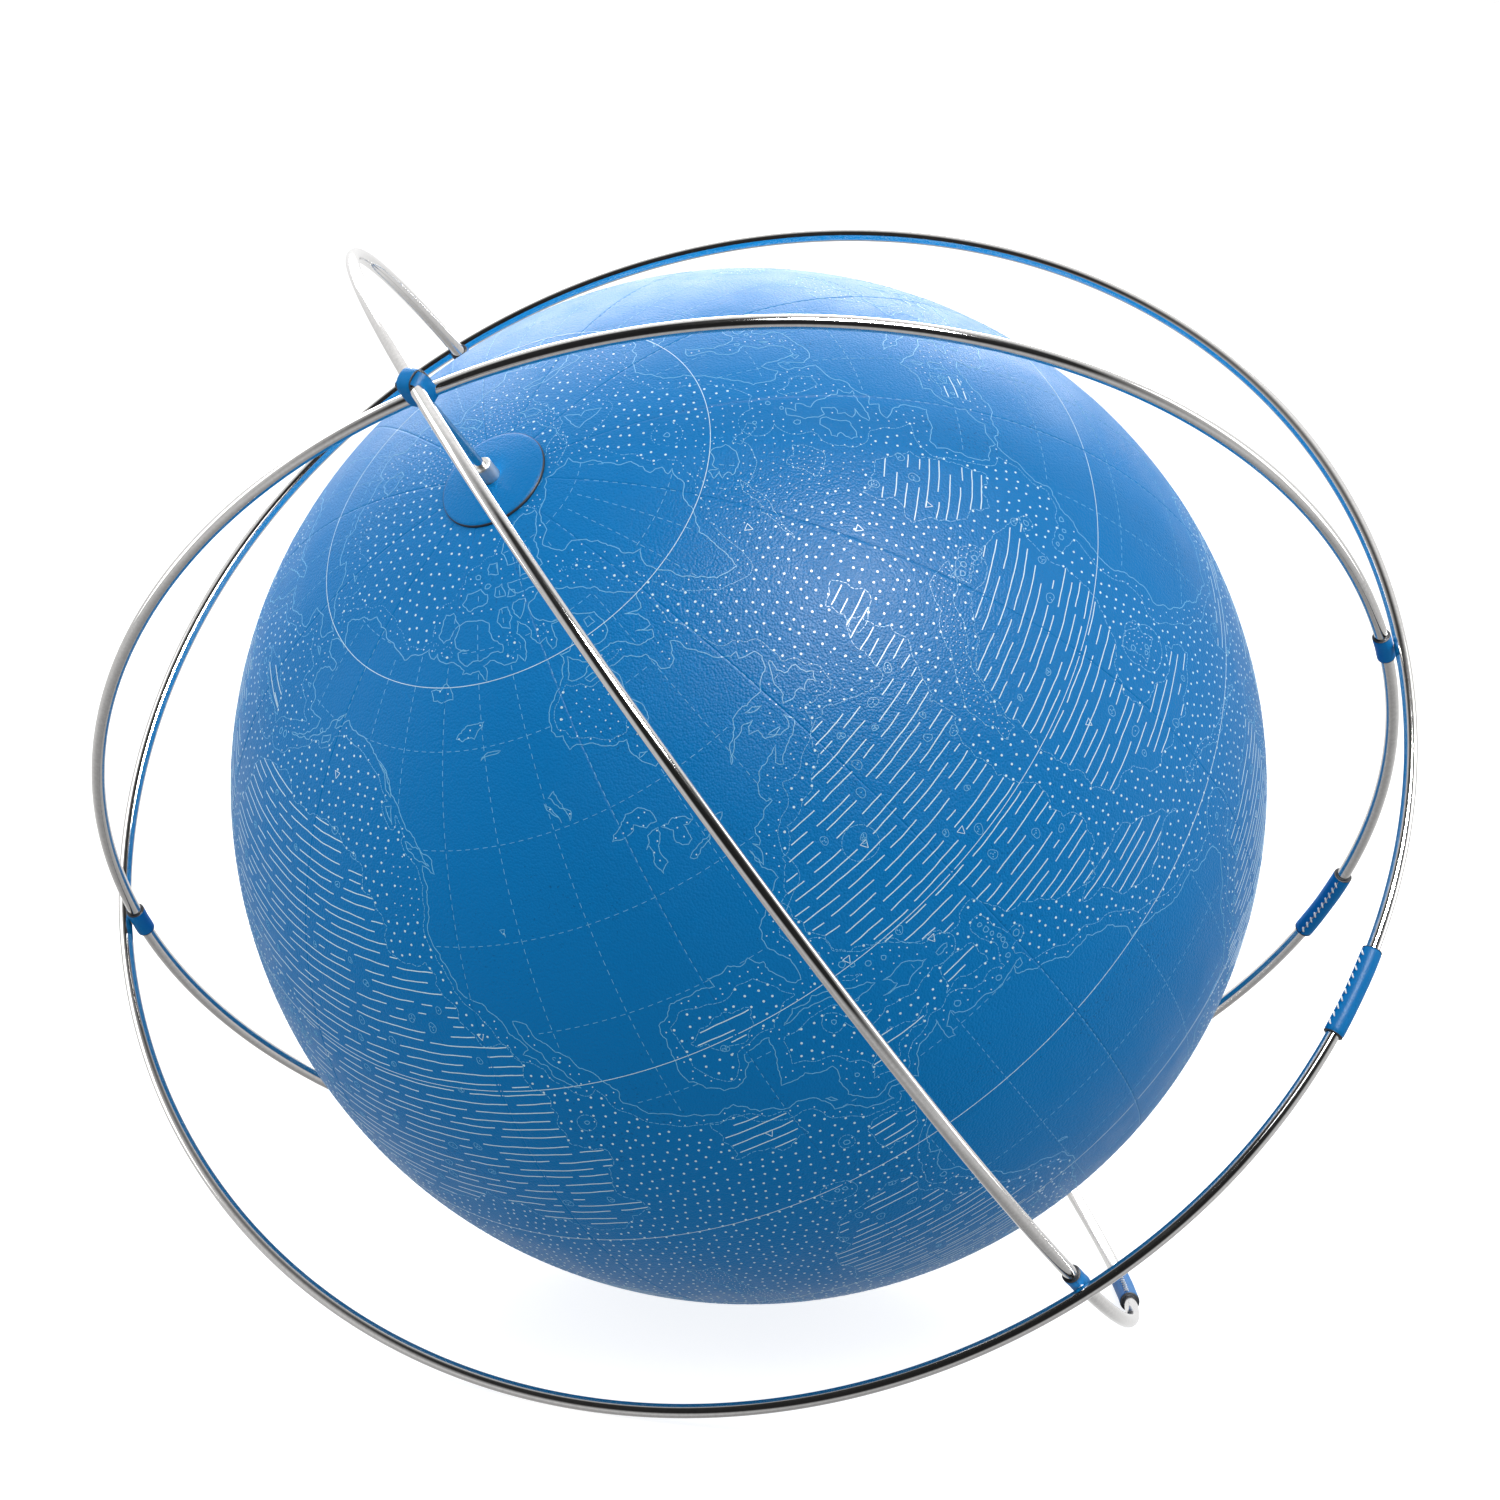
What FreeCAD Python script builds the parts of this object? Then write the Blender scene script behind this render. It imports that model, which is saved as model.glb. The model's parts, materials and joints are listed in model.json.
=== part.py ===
import FreeCAD, Part
import math
import os
from FreeCAD import Placement, Rotation, Vector

# Desk globe: a leather-covered ball that spins on two pins inside a cage of three round steel
# rods. Millimetres, +Z up. The origin is on the table, straight below the centre of the ball.

doc = FreeCAD.newDocument("desk_globe")

DIMENSIONS = [
    ("globe_radius", 150.0, "outside of the leather"),
    ("leather_thick", 1.2, "cover of the ball"),
    ("shell_wall", 2.6, "moulded half shells"),
    ("gore_count", 12, "leather segments round the ball"),
    ("gore_seam", 0.16, "gap between two segments at the equator"),
    ("band_half_angle", 3.0, "joining band, latitude either side of the equator"),
    ("band_inner_radius", 143.0, ""),
    ("cap_radius", 15.5, "leather disc at each pole"),
    ("collar_radius", 2.8, "steel bearing collar"),
    ("collar_top", 156.5, "distance of its rim from the centre of the ball"),
    ("collar_foot", 141.5, "distance of its inner end from the centre"),
    ("shoulder_radius", 4.0, "hidden flange of the collar"),
    ("shoulder_thick", 1.14, ""),
    ("bore_radius", 1.35, "running hole in the collar"),
    ("bore_floor", 147.9, "distance of the hole's floor from the centre"),
    ("washer_radius", 6.0, ""),
    ("washer_thick", 0.8, ""),
    ("washer_top", 146.07, "washer's outer face, where its rim meets the shell"),
    ("nut_flats", 8.0, "across flats"),
    ("nut_thick", 3.0, ""),
    ("assembly_gap", 0.05, "radial gap of parts that slip over the collar"),
    ("pin_radius", 1.3, "axis pins"),
    ("pin_end", 148.0, "distance of each pin's tip from the centre"),
    ("rod_radius", 2.0, "rod of the three rings"),
    ("inner_ring_radius", 187.7, "centre line"),
    ("outer_ring_radius", 192.4, "centre line"),
    ("oval_half_short", 187.4, "middle ring, centre line"),
    ("oval_end_radius", 184.0, "middle ring, arcs at the poles"),
    ("butt_gap", 0.3, "between the two ends of each rod"),
    ("joint_pin_radius", 0.95, ""),
    ("joint_pin_length", 16.0, ""),
    ("joint_hole_radius", 1.0, ""),
    ("joint_hole_length", 17.0, "both rod ends together"),
    ("sleeve_radius", 2.9, "leather sleeve over each rod joint"),
    ("sleeve_length", 27.0, ""),
    ("wrap_radius", 2.7, "leather wrap at each crossing"),
    ("wrap_length", 9.0, ""),
    ("crossing_pin_radius", 0.8, ""),
    ("lashing_radius", 2.95, "leather lashing at each pole"),
    ("lashing_length", 10.0, ""),
    ("stitch_radius", 0.22, ""),
    ("stitch_length", 1.7, ""),
    ("stitch_pitch", 2.5, ""),
    ("stitch_count", 10, ""),
    ("centre_height", 152.0, "centre of the ball above the table"),
    ("middle_azimuth", 5.1, "compass directions of the ring normals"),
    ("inner_azimuth", 97.1, ""),
    ("outer_azimuth", 250.0, ""),
    ("longitude_turn", -13.4, "from the middle ring's normal to longitude zero"),
    ("overshoot", 30.0, "how far cutting tools run past the surface of the ball"),
]

sheet = doc.addObject("Spreadsheet::Sheet", "dims")
for row, (alias, value, note) in enumerate(DIMENSIONS, start=1):
    sheet.set(f"A{row}", alias)
    sheet.set(f"B{row}", str(value))
    sheet.set(f"C{row}", note)
    sheet.setAlias(f"B{row}", alias)
doc.recompute()

nodes = []


def dim(alias):
    return float(sheet.get(alias))


def make(kind, name, at=None, **formulas):
    """One document object whose properties follow formulas of the sheet."""
    thing = doc.addObject(kind, name)
    for prop, formula in formulas.items():
        thing.setExpression(prop, formula)
    if at is not None:
        thing.Placement = at
    return thing


def node(thing, label):
    """Mark an object as a finished sub-part, one file of its own."""
    thing.Label = label
    nodes.append(thing)
    return thing


def group(name, members):
    thing = doc.addObject("Part::Compound", name)
    thing.Links = members
    return thing


def fuse(name, members):
    thing = doc.addObject("Part::MultiFuse", name)
    thing.Shapes = members
    return thing


def cut(name, base, *tools):
    """Take the tools away one after another. The last cut carries the name."""
    for number, tool in enumerate(tools, start=1):
        last = number == len(tools)
        thing = doc.addObject("Part::Cut", name if last else f"{name}_cut_{number}")
        thing.Base = base
        thing.Tool = tool
        base = thing
    return base


# ---------------------------------------------------------------- directions of the cage

CENTRE = Vector(0, 0, dim("centre_height"))
ROD_DEPTH = dim("centre_height") - dim("rod_radius")
SLEEVE_DEPTH = dim("centre_height") - dim("sleeve_radius")
OVAL_HALF_LONG = dim("outer_ring_radius")
END_SHIFT = OVAL_HALF_LONG - dim("oval_end_radius")
SIDE_RADIUS = ((dim("oval_half_short") ** 2 - dim("oval_end_radius") ** 2 + END_SHIFT ** 2)
               / (2 * (dim("oval_half_short") - dim("oval_end_radius"))))
SIDE_SHIFT = SIDE_RADIUS - dim("oval_half_short")
OVAL_JOIN = math.degrees(math.atan2(SIDE_SHIFT, END_SHIFT))


def leaning(azimuth, tilt):
    """Turn a flat ring so that its normal leans by tilt towards azimuth; +X then points at
    the ring's lowest point."""
    return Rotation(Vector(0, 0, 1), azimuth) * Rotation(Vector(0, 1, 0), tilt)


def normal_of(turn):
    return turn.multVec(Vector(0, 0, 1))


def angle_in(turn, direction):
    """Angle of a direction in a ring's own plane, from the ring's +X."""
    flat = turn.inverted().multVec(direction)
    return math.degrees(math.atan2(flat.y, flat.x))


def meeting_line(turn_a, turn_b):
    line = normal_of(turn_a).cross(normal_of(turn_b))
    return line.normalize()


def oval_depth(tilt):
    """How far the middle ring's lowest point lies below its centre at this tilt."""
    turn = leaning(dim("middle_azimuth"), tilt)
    long_axis = meeting_line(turn, inner_turn)
    lengthwise = abs(long_axis.z)
    crosswise = abs(normal_of(turn).cross(long_axis).z)
    steepness = math.hypot(lengthwise, crosswise)
    if math.degrees(math.atan2(crosswise, lengthwise)) < OVAL_JOIN:
        return END_SHIFT * lengthwise + dim("oval_end_radius") * steepness
    return SIDE_RADIUS * steepness - SIDE_SHIFT * crosswise


# Each ring leans just far enough to rest on the table: the inner and outer rings on their rods,
# the middle ring on its leather sleeve, which sits at its lowest point.
inner_turn = leaning(dim("inner_azimuth"), math.degrees(math.asin(ROD_DEPTH / dim("inner_ring_radius"))))
outer_turn = leaning(dim("outer_azimuth"), math.degrees(math.asin(ROD_DEPTH / dim("outer_ring_radius"))))
low, high = 45.0, 60.0
TILT_PRECISION = 1e-7
while high - low > TILT_PRECISION:
    middle_tilt = (low + high) / 2
    if oval_depth(middle_tilt) < SLEEVE_DEPTH:
        low = middle_tilt
    else:
        high = middle_tilt
middle_turn = leaning(dim("middle_azimuth"), middle_tilt)

# The ball turns about the line where the inner and the middle ring meet.
POLE = meeting_line(middle_turn, inner_turn)
if POLE.z < 0:
    POLE = -POLE
RIGHT = meeting_line(inner_turn, outer_turn)
if RIGHT.x < 0:
    RIGHT = -RIGHT
FRONT = meeting_line(middle_turn, outer_turn)
if FRONT.z > 0:
    FRONT = -FRONT

oval_turn = middle_turn * Rotation(Vector(0, 0, 1), angle_in(middle_turn, POLE))
inner_frame = Placement(CENTRE, inner_turn)
outer_frame = Placement(CENTRE, outer_turn)
oval_frame = Placement(CENTRE, oval_turn)


def spun(frame, degrees):
    return frame * Placement(Vector(), Rotation(Vector(0, 0, 1), degrees))


def shifted(frame, x=0.0, y=0.0, z=0.0):
    return frame * Placement(Vector(x, y, z), Rotation())


def along(direction, distance):
    """Frame with +Z along a line out of the ball's centre, distance up that line."""
    return Placement(CENTRE + direction * distance, Rotation(Vector(0, 0, 1), direction))


prime = Rotation(POLE, dim("longitude_turn")).multVec(normal_of(middle_turn))
globe_turn = Rotation(prime, POLE.cross(prime), POLE, "ZXY")
globe_frame = Placement(CENTRE, globe_turn)
south_frame = globe_frame * Placement(Vector(), Rotation(Vector(1, 0, 0), 180))

# ---------------------------------------------------------------- arcs of rod

INNER = "dims.inner_ring_radius"
OUTER = "dims.outer_ring_radius"
OVAL_END = "dims.oval_end_radius"
OVAL_SIDE = ("((dims.oval_half_short ^ 2 - dims.oval_end_radius ^ 2"
             " + (dims.outer_ring_radius - dims.oval_end_radius) ^ 2)"
             " / (2 * (dims.oval_half_short - dims.oval_end_radius)))")

# Frames whose origin is the centre of each arc of the middle ring.
north_end = shifted(oval_frame, x=END_SHIFT)
south_end = spun(shifted(oval_frame, x=-END_SHIFT), 180)
front_side = shifted(oval_frame, y=-SIDE_SHIFT)
rear_side = spun(shifted(oval_frame, y=SIDE_SHIFT), 180)


def arc_by_angle(name, frame, radius, rod, start, sweep):
    return make("Part::Torus", name, spun(frame, start), Radius1=radius, Radius2=rod, Angle3=str(sweep))


def arc_by_length(name, frame, radius, radius_mm, rod, middle, length):
    """Piece of round rod bent to a radius, of a length from the sheet, about a middle angle."""
    half = math.degrees(dim(length) / radius_mm) / 2
    sweep = f"dims.{length} / {radius} * 180 / pi"
    return make("Part::Torus", name, spun(frame, middle - half), Radius1=radius, Radius2=rod, Angle3=sweep)


class Bend:
    """One stretch of ring: where its arc is centred, its radius and the angle of a place on it."""

    def __init__(self, frame, radius, radius_mm, middle):
        self.frame = frame
        self.radius = radius
        self.radius_mm = radius_mm
        self.middle = middle

    def tube(self, name, rod, length):
        return arc_by_length(name, self.frame, self.radius, self.radius_mm, rod, self.middle, length)


def side_angle(polar):
    """Angle on a side arc, about its own centre, of the place at a polar angle of the oval."""
    bend = math.radians(polar)
    return polar + math.degrees(math.asin(SIDE_SHIFT * math.cos(bend) / SIDE_RADIUS))


INNER_JOINT = 285.0
OUTER_JOINT = 78.4
MIDDLE_JOINT = -35.5
joints = {
    "inner_ring": (Bend(inner_frame, INNER, dim("inner_ring_radius"), INNER_JOINT), -125.0),
    "middle_ring": (Bend(south_end, OVAL_END, dim("oval_end_radius"), MIDDLE_JOINT), 160.0),
    "outer_ring": (Bend(outer_frame, OUTER, dim("outer_ring_radius"), OUTER_JOINT), 140.0),
}

front_polar = angle_in(oval_turn, FRONT)
crossings = {
    "right": (RIGHT, Bend(inner_frame, INNER, dim("inner_ring_radius"), angle_in(inner_turn, RIGHT))),
    "left": (-RIGHT, Bend(inner_frame, INNER, dim("inner_ring_radius"), angle_in(inner_turn, -RIGHT))),
    "front": (FRONT, Bend(front_side, OVAL_SIDE, SIDE_RADIUS, side_angle(front_polar))),
    "rear": (-FRONT, Bend(rear_side, OVAL_SIDE, SIDE_RADIUS, side_angle(front_polar))),
}
poles = {"north": POLE, "south": -POLE}

# ---------------------------------------------------------------- pins that tie the cage

for pole, direction in poles.items():
    # The axis pin is pressed through the inner ring and into the middle ring.
    pin = make("Part::Cylinder", f"axis_pin_{pole}", along(direction, dim("pin_end")),
               Radius="dims.pin_radius", Height="dims.outer_ring_radius - dims.pin_end")
    node(pin, f"axis_pin_{pole}")

for side, (direction, bend) in crossings.items():
    pin = make("Part::Cylinder", f"crossing_pin_{side}", along(direction, dim("inner_ring_radius")),
               Radius="dims.crossing_pin_radius", Height=f"{OUTER} - {INNER}")
    node(pin, f"crossing_pin_{side}")


def copies(name, *originals):
    """Drills that follow the size and place of pins, so that one pin can pierce several parts."""
    drills = []
    for original in originals:
        drill = make("Part::Cylinder", f"{name}_{original.Name}", original.Placement)
        drill.setExpression("Radius", f"{original.Name}.Radius")
        drill.setExpression("Height", f"{original.Name}.Height")
        drills.append(drill)
    return drills


pins = {pin.Name: pin for pin in nodes}
pole_pins = [pins["axis_pin_north"], pins["axis_pin_south"]]
side_pins = [pins["crossing_pin_right"], pins["crossing_pin_left"]]
end_pins = [pins["crossing_pin_front"], pins["crossing_pin_rear"]]

# ---------------------------------------------------------------- rings

def round_ring(name, frame, radius, radius_mm, joint_angle):
    gap = math.degrees(dim("butt_gap") / radius_mm)
    sweep = f"360 - dims.butt_gap / {radius} * 180 / pi"
    return arc_by_angle(name + "_rod", frame, radius, "dims.rod_radius", joint_angle + gap / 2, sweep)


inner_rod = round_ring("inner_ring", inner_frame, INNER, dim("inner_ring_radius"), INNER_JOINT)
outer_rod = round_ring("outer_ring", outer_frame, OUTER, dim("outer_ring_radius"), OUTER_JOINT)

end_gap = math.degrees(dim("butt_gap") / dim("oval_end_radius")) / 2
side_sweep = 180 - 2 * OVAL_JOIN
north_arc = arc_by_angle("middle_north", north_end, OVAL_END, "dims.rod_radius", -OVAL_JOIN, 2 * OVAL_JOIN)
south_arc_long = arc_by_angle("middle_south_long", south_end, OVAL_END, "dims.rod_radius",
                              MIDDLE_JOINT + end_gap, OVAL_JOIN - MIDDLE_JOINT - end_gap)
south_arc_short = arc_by_angle("middle_south_short", south_end, OVAL_END, "dims.rod_radius",
                               -OVAL_JOIN, OVAL_JOIN + MIDDLE_JOINT - end_gap)
front_arc = arc_by_angle("middle_front", front_side, OVAL_SIDE, "dims.rod_radius", OVAL_JOIN, side_sweep)
rear_arc = arc_by_angle("middle_rear", rear_side, OVAL_SIDE, "dims.rod_radius", OVAL_JOIN, side_sweep)
middle_rod = fuse("middle_ring_rod", [south_arc_long, rear_arc, north_arc, front_arc, south_arc_short])

rods = {
    "inner_ring": (inner_rod, pole_pins + side_pins),
    "middle_ring": (middle_rod, pole_pins + end_pins),
    "outer_ring": (outer_rod, side_pins + end_pins),
}
for ring, (rod, drilled_by) in rods.items():
    bend = joints[ring][0]
    socket = bend.tube(f"{ring}_socket", "dims.joint_hole_radius", "joint_hole_length")
    node(cut(ring, rod, socket, *copies(ring, *drilled_by)), ring)
    dowel = bend.tube(f"{ring}_joint_pin", "dims.joint_pin_radius", "joint_pin_length")
    node(dowel, f"{ring}_joint_pin")

# ---------------------------------------------------------------- leather on the cage

for ring, (bend, seam) in joints.items():
    outside = bend.tube(f"{ring}_sleeve_outside", "dims.sleeve_radius", "sleeve_length")
    inside = bend.tube(f"{ring}_sleeve_inside", "dims.rod_radius", "sleeve_length")
    node(cut(f"{ring}_sleeve", outside, inside), f"{ring}_sleeve")

    # A row of stitches closes each sleeve; the seam's place round the rod is an angle from the
    # outward direction of the ring.
    lift = dim("sleeve_radius") + dim("stitch_radius")
    raised = shifted(bend.frame, z=lift * math.sin(math.radians(seam)))
    reach = f"({bend.radius} + (dims.sleeve_radius + dims.stitch_radius) * cos({seam}))"
    reach_mm = bend.radius_mm + lift * math.cos(math.radians(seam))
    stitches = []
    for number in range(int(dim("stitch_count"))):
        offset = (number - (dim("stitch_count") - 1) / 2) * dim("stitch_pitch")
        place = bend.middle + math.degrees(offset / reach_mm)
        stitches.append(arc_by_length(f"{ring}_stitch_{number}", raised, reach, reach_mm,
                                      "dims.stitch_radius", place, "stitch_length"))
    node(group(f"{ring}_stitching", stitches), f"{ring}_stitching")

for side, (direction, bend) in crossings.items():
    outside = bend.tube(f"wrap_{side}_outside", "dims.wrap_radius", "wrap_length")
    inside = bend.tube(f"wrap_{side}_inside", "dims.rod_radius", "wrap_length")
    drill = copies(f"wrap_{side}", pins[f"crossing_pin_{side}"])
    node(cut(f"crossing_wrap_{side}", outside, inside, *drill), f"crossing_wrap_{side}")


def rod_cover(name, direction, distance, turn):
    """Straight round cover along a rod where it passes over the pole."""
    tangent = normal_of(turn).cross(direction)
    start = CENTRE + direction * distance - tangent * (dim("lashing_length") / 2)
    return make("Part::Cylinder", name, Placement(start, Rotation(Vector(0, 0, 1), tangent)),
                Radius="dims.lashing_radius", Height="dims.lashing_length")


for pole, direction in poles.items():
    covers = [rod_cover(f"lashing_{pole}_inner", direction, dim("inner_ring_radius"), inner_turn),
              rod_cover(f"lashing_{pole}_middle", direction, OVAL_HALF_LONG, middle_turn)]
    outside = fuse(f"lashing_{pole}_outside", covers)
    ring_bend = Bend(inner_frame, INNER, dim("inner_ring_radius"), angle_in(inner_turn, direction))
    end_frame = north_end if pole == "north" else south_end
    end_bend = Bend(end_frame, OVAL_END, dim("oval_end_radius"), 0.0)
    hollow_a = ring_bend.tube(f"lashing_{pole}_hollow_inner", "dims.rod_radius", "sleeve_length")
    hollow_b = end_bend.tube(f"lashing_{pole}_hollow_middle", "dims.rod_radius", "sleeve_length")
    drill = copies(f"lashing_{pole}", pins[f"axis_pin_{pole}"])
    node(cut(f"pole_lashing_{pole}", outside, hollow_a, hollow_b, *drill), f"pole_lashing_{pole}")

# ---------------------------------------------------------------- the ball

SHELL_OUTSIDE = "dims.globe_radius - dims.leather_thick"
SHELL_INSIDE = "dims.globe_radius - dims.leather_thick - dims.shell_wall"
pole_frames = {"north": globe_frame, "south": south_frame}


def polar_cylinder(name, frame, radius, start, height):
    """Cylinder on the ball's axis that starts at a distance from the centre."""
    return make("Part::Cylinder", name, shifted(frame, z=start), Radius=radius, Height=height)


for pole, frame in pole_frames.items():
    # Half shell with a hole for the bearing collar.
    outside = make("Part::Sphere", f"{pole}_shell_outside", frame, Radius=SHELL_OUTSIDE, Angle1="0")
    inside = make("Part::Sphere", f"{pole}_shell_inside", frame, Radius=SHELL_INSIDE, Angle1="0")
    hole = polar_cylinder(f"{pole}_shell_hole", frame, "dims.collar_radius + dims.assembly_gap",
                          0.0, "dims.globe_radius")
    hollow = fuse(f"{pole}_shell_hollow", [inside, hole])
    node(cut(f"{pole}_shell", outside, hollow), f"{pole}_shell")

band_outside = make("Part::Sphere", "band_outside", globe_frame, Radius=SHELL_INSIDE,
                    Angle1="-dims.band_half_angle", Angle2="dims.band_half_angle")
band_hole = make("Part::Cylinder", "band_hole", shifted(globe_frame, z=-dim("globe_radius") / 2),
                 Radius="dims.band_inner_radius", Height="dims.globe_radius")
node(cut("equator_band", band_outside, band_hole), "equator_band")

# Twelve leather segments meet along meridians; their tips stop at the collars' shoulders.
tip_clearance = polar_cylinder("gore_tip_clearance", globe_frame, "dims.shoulder_radius + dims.assembly_gap",
                               -dim("globe_radius") - dim("overshoot"),
                               "2 * (dims.globe_radius + dims.overshoot)")
gore_inside = make("Part::Sphere", "gore_inside", globe_frame, Radius=SHELL_OUTSIDE)
gore_hollow = fuse("gore_hollow", [gore_inside, tip_clearance])
gore_step = 360 / dim("gore_count")
seam_angle = math.degrees(dim("gore_seam") / dim("globe_radius"))
for number in range(int(dim("gore_count"))):
    wedge = make("Part::Sphere", f"gore_{number + 1:02d}_wedge",
                 spun(globe_frame, number * gore_step + seam_angle / 2), Radius="dims.globe_radius",
                 Angle3="360 / dims.gore_count - dims.gore_seam / dims.globe_radius * 180 / pi")
    node(cut(f"leather_gore_{number + 1:02d}", wedge, gore_hollow), f"leather_gore_{number + 1:02d}")

for pole, frame in pole_frames.items():
    # Domed leather disc over the tips of the segments.
    dome = make("Part::Sphere", f"{pole}_cap_dome", frame,
                Radius="dims.globe_radius + dims.leather_thick")
    post = polar_cylinder(f"{pole}_cap_post", frame, "dims.cap_radius",
                          dim("globe_radius") - dim("overshoot"), "2 * dims.overshoot")
    disc = doc.addObject("Part::Common", f"{pole}_cap_disc")
    disc.Base, disc.Tool = post, dome
    underside = make("Part::Sphere", f"{pole}_cap_underside", frame, Radius="dims.globe_radius")
    hole = polar_cylinder(f"{pole}_cap_hole", frame, "dims.collar_radius + dims.assembly_gap",
                          0.0, "dims.globe_radius + dims.overshoot")
    node(cut(f"polar_cap_{pole}", disc, fuse(f"{pole}_cap_hollow", [underside, hole])), f"polar_cap_{pole}")

    # Bearing collar: a tube with a blind running hole and a shoulder that seats on the shell.
    tube = polar_cylinder(f"{pole}_collar_tube", frame, "dims.collar_radius", dim("collar_foot"),
                          "dims.collar_top - dims.collar_foot")
    shoulder = polar_cylinder(f"{pole}_collar_shoulder", frame, "dims.shoulder_radius",
                              dim("globe_radius") - dim("leather_thick"), "dims.shoulder_thick")
    bore = polar_cylinder(f"{pole}_collar_bore", frame, "dims.bore_radius", dim("bore_floor"),
                          "dims.collar_top")
    node(cut(f"bearing_collar_{pole}", fuse(f"{pole}_collar_body", [tube, shoulder]), bore),
         f"bearing_collar_{pole}")

    # Washer and nut inside the shell.
    washer_foot = dim("washer_top") - dim("washer_thick")
    washer = polar_cylinder(f"{pole}_washer_disc", frame, "dims.washer_radius", washer_foot,
                            "dims.washer_thick")
    washer_hole = polar_cylinder(f"{pole}_washer_hole", frame, "dims.collar_radius + dims.assembly_gap",
                                 washer_foot, "dims.washer_thick")
    node(cut(f"collar_washer_{pole}", washer, washer_hole), f"collar_washer_{pole}")
    hexagon = make("Part::Prism", f"{pole}_nut_hexagon", shifted(frame, z=washer_foot - dim("nut_thick")),
                   Circumradius="dims.nut_flats / 2 / cos(30)", Height="dims.nut_thick")
    hexagon.Polygon = 6
    nut_hole = polar_cylinder(f"{pole}_nut_hole", frame, "dims.collar_radius + dims.assembly_gap",
                              washer_foot - dim("nut_thick"), "dims.nut_thick")
    node(cut(f"collar_nut_{pole}", hexagon, nut_hole), f"collar_nut_{pole}")

# ---------------------------------------------------------------- check and write

doc.recompute()
for thing in doc.Objects:
    if "Invalid" in thing.State or "Error" in thing.State:
        raise RuntimeError(f"{thing.Name} failed: {thing.State}")
for thing in nodes:
    if thing.Shape.isNull() or not thing.Shape.isValid() or not thing.Shape.Solids:
        raise RuntimeError(f"{thing.Label} has no valid solid")

os.makedirs("parts", exist_ok=True)
for thing in nodes:
    thing.Shape.exportStep(f"parts/{thing.Label}.step")
    box = thing.Shape.BoundBox
    print(f"{thing.Label}: {len(thing.Shape.Solids)} solid(s), {thing.Shape.Volume:.1f} mm3, "
          f"z {box.ZMin:.2f} to {box.ZMax:.2f}")
print("pole", tuple(round(value, 6) for value in POLE), "nodes", len(nodes))
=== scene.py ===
import json
import math
import random

import bpy
import numpy as np
from mathutils import Matrix, Vector, kdtree


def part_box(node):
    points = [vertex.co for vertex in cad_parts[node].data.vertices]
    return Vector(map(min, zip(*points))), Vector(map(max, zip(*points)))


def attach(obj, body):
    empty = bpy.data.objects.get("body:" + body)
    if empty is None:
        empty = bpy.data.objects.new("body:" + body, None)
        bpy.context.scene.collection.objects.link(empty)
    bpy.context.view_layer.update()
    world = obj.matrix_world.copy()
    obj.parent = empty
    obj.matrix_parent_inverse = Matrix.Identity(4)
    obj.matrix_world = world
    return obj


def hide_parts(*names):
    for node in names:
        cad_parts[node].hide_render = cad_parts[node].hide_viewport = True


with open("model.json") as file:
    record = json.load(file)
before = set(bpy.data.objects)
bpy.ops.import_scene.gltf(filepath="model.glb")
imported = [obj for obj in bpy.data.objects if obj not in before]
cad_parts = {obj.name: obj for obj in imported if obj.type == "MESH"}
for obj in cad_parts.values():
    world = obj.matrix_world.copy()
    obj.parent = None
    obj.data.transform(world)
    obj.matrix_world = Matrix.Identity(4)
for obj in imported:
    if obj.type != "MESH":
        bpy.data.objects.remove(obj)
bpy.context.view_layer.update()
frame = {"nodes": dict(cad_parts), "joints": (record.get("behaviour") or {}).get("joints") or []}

MM = 0.001

# ---------------------------------------------------------------- the frame of the globe

SPIN = frame["joints"][0]
CENTRE = Vector(SPIN["pos_m"])
POLE = Vector(SPIN["axis"]).normalized()
NODES = frame["nodes"]


def box_middle(node):
    low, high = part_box(node)
    return (Vector(low) + Vector(high)) / 2


def direction_to(node):
    return (box_middle(node) - CENTRE).normalized()


RIGHT = direction_to("crossing_pin_right")
FRONT = direction_to("crossing_pin_front")


def longitude_zero():
    """Direction of longitude zero: the first leather segment runs from there to 30 degrees east."""
    aside = direction_to("leather_gore_01")
    guess = (aside - POLE * aside.dot(POLE)).normalized()
    across = POLE.cross(guess)
    angles = []
    for vertex in NODES["leather_gore_01"].data.vertices:
        out = vertex.co - CENTRE
        east, forward = out.dot(across), out.dot(guess)
        if math.hypot(east, forward) > 60 * MM:
            angles.append(math.atan2(east, forward))
    middle = (min(angles) + max(angles)) / 2
    return Matrix.Rotation(middle - math.radians(15), 3, POLE) @ guess


PRIME = longitude_zero()
GLOBE = Matrix((PRIME, POLE.cross(PRIME), POLE)).transposed()
GLOBE_NP = np.array(GLOBE)
CENTRE_NP = np.array(CENTRE)

# Sizes of the pieces, the same as in the CAD. ROD, SLEEVE and WRAP are radii round a rod's centre.
GLOBE_RADIUS = 150 * MM
LEATHER = 1.2 * MM
ROD = 2.0 * MM
INNER_RADIUS = 187.7 * MM
OUTER_RADIUS = 192.4 * MM
OVAL_SHORT = 187.4 * MM
OVAL_END = 184.0 * MM
SLEEVE = 2.9 * MM
SLEEVE_LENGTH = 27 * MM
WRAP = 2.7 * MM
WRAP_LENGTH = 9 * MM

# ---------------------------------------------------------------- mesh helpers


def mesh_piece(name, verts, faces, material, body, smooth=True, replaces=()):
    mesh = bpy.data.meshes.new(name)
    mesh.from_pydata([tuple(v) for v in verts], [], [tuple(f) for f in faces])
    mesh.polygons.foreach_set("use_smooth", [smooth] * len(mesh.polygons))
    mesh.materials.append(material)
    mesh.update()
    piece = bpy.data.objects.new(name, mesh)
    bpy.context.scene.collection.objects.link(piece)
    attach(piece, body)
    if replaces:
        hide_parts(*replaces)
    return piece


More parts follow.
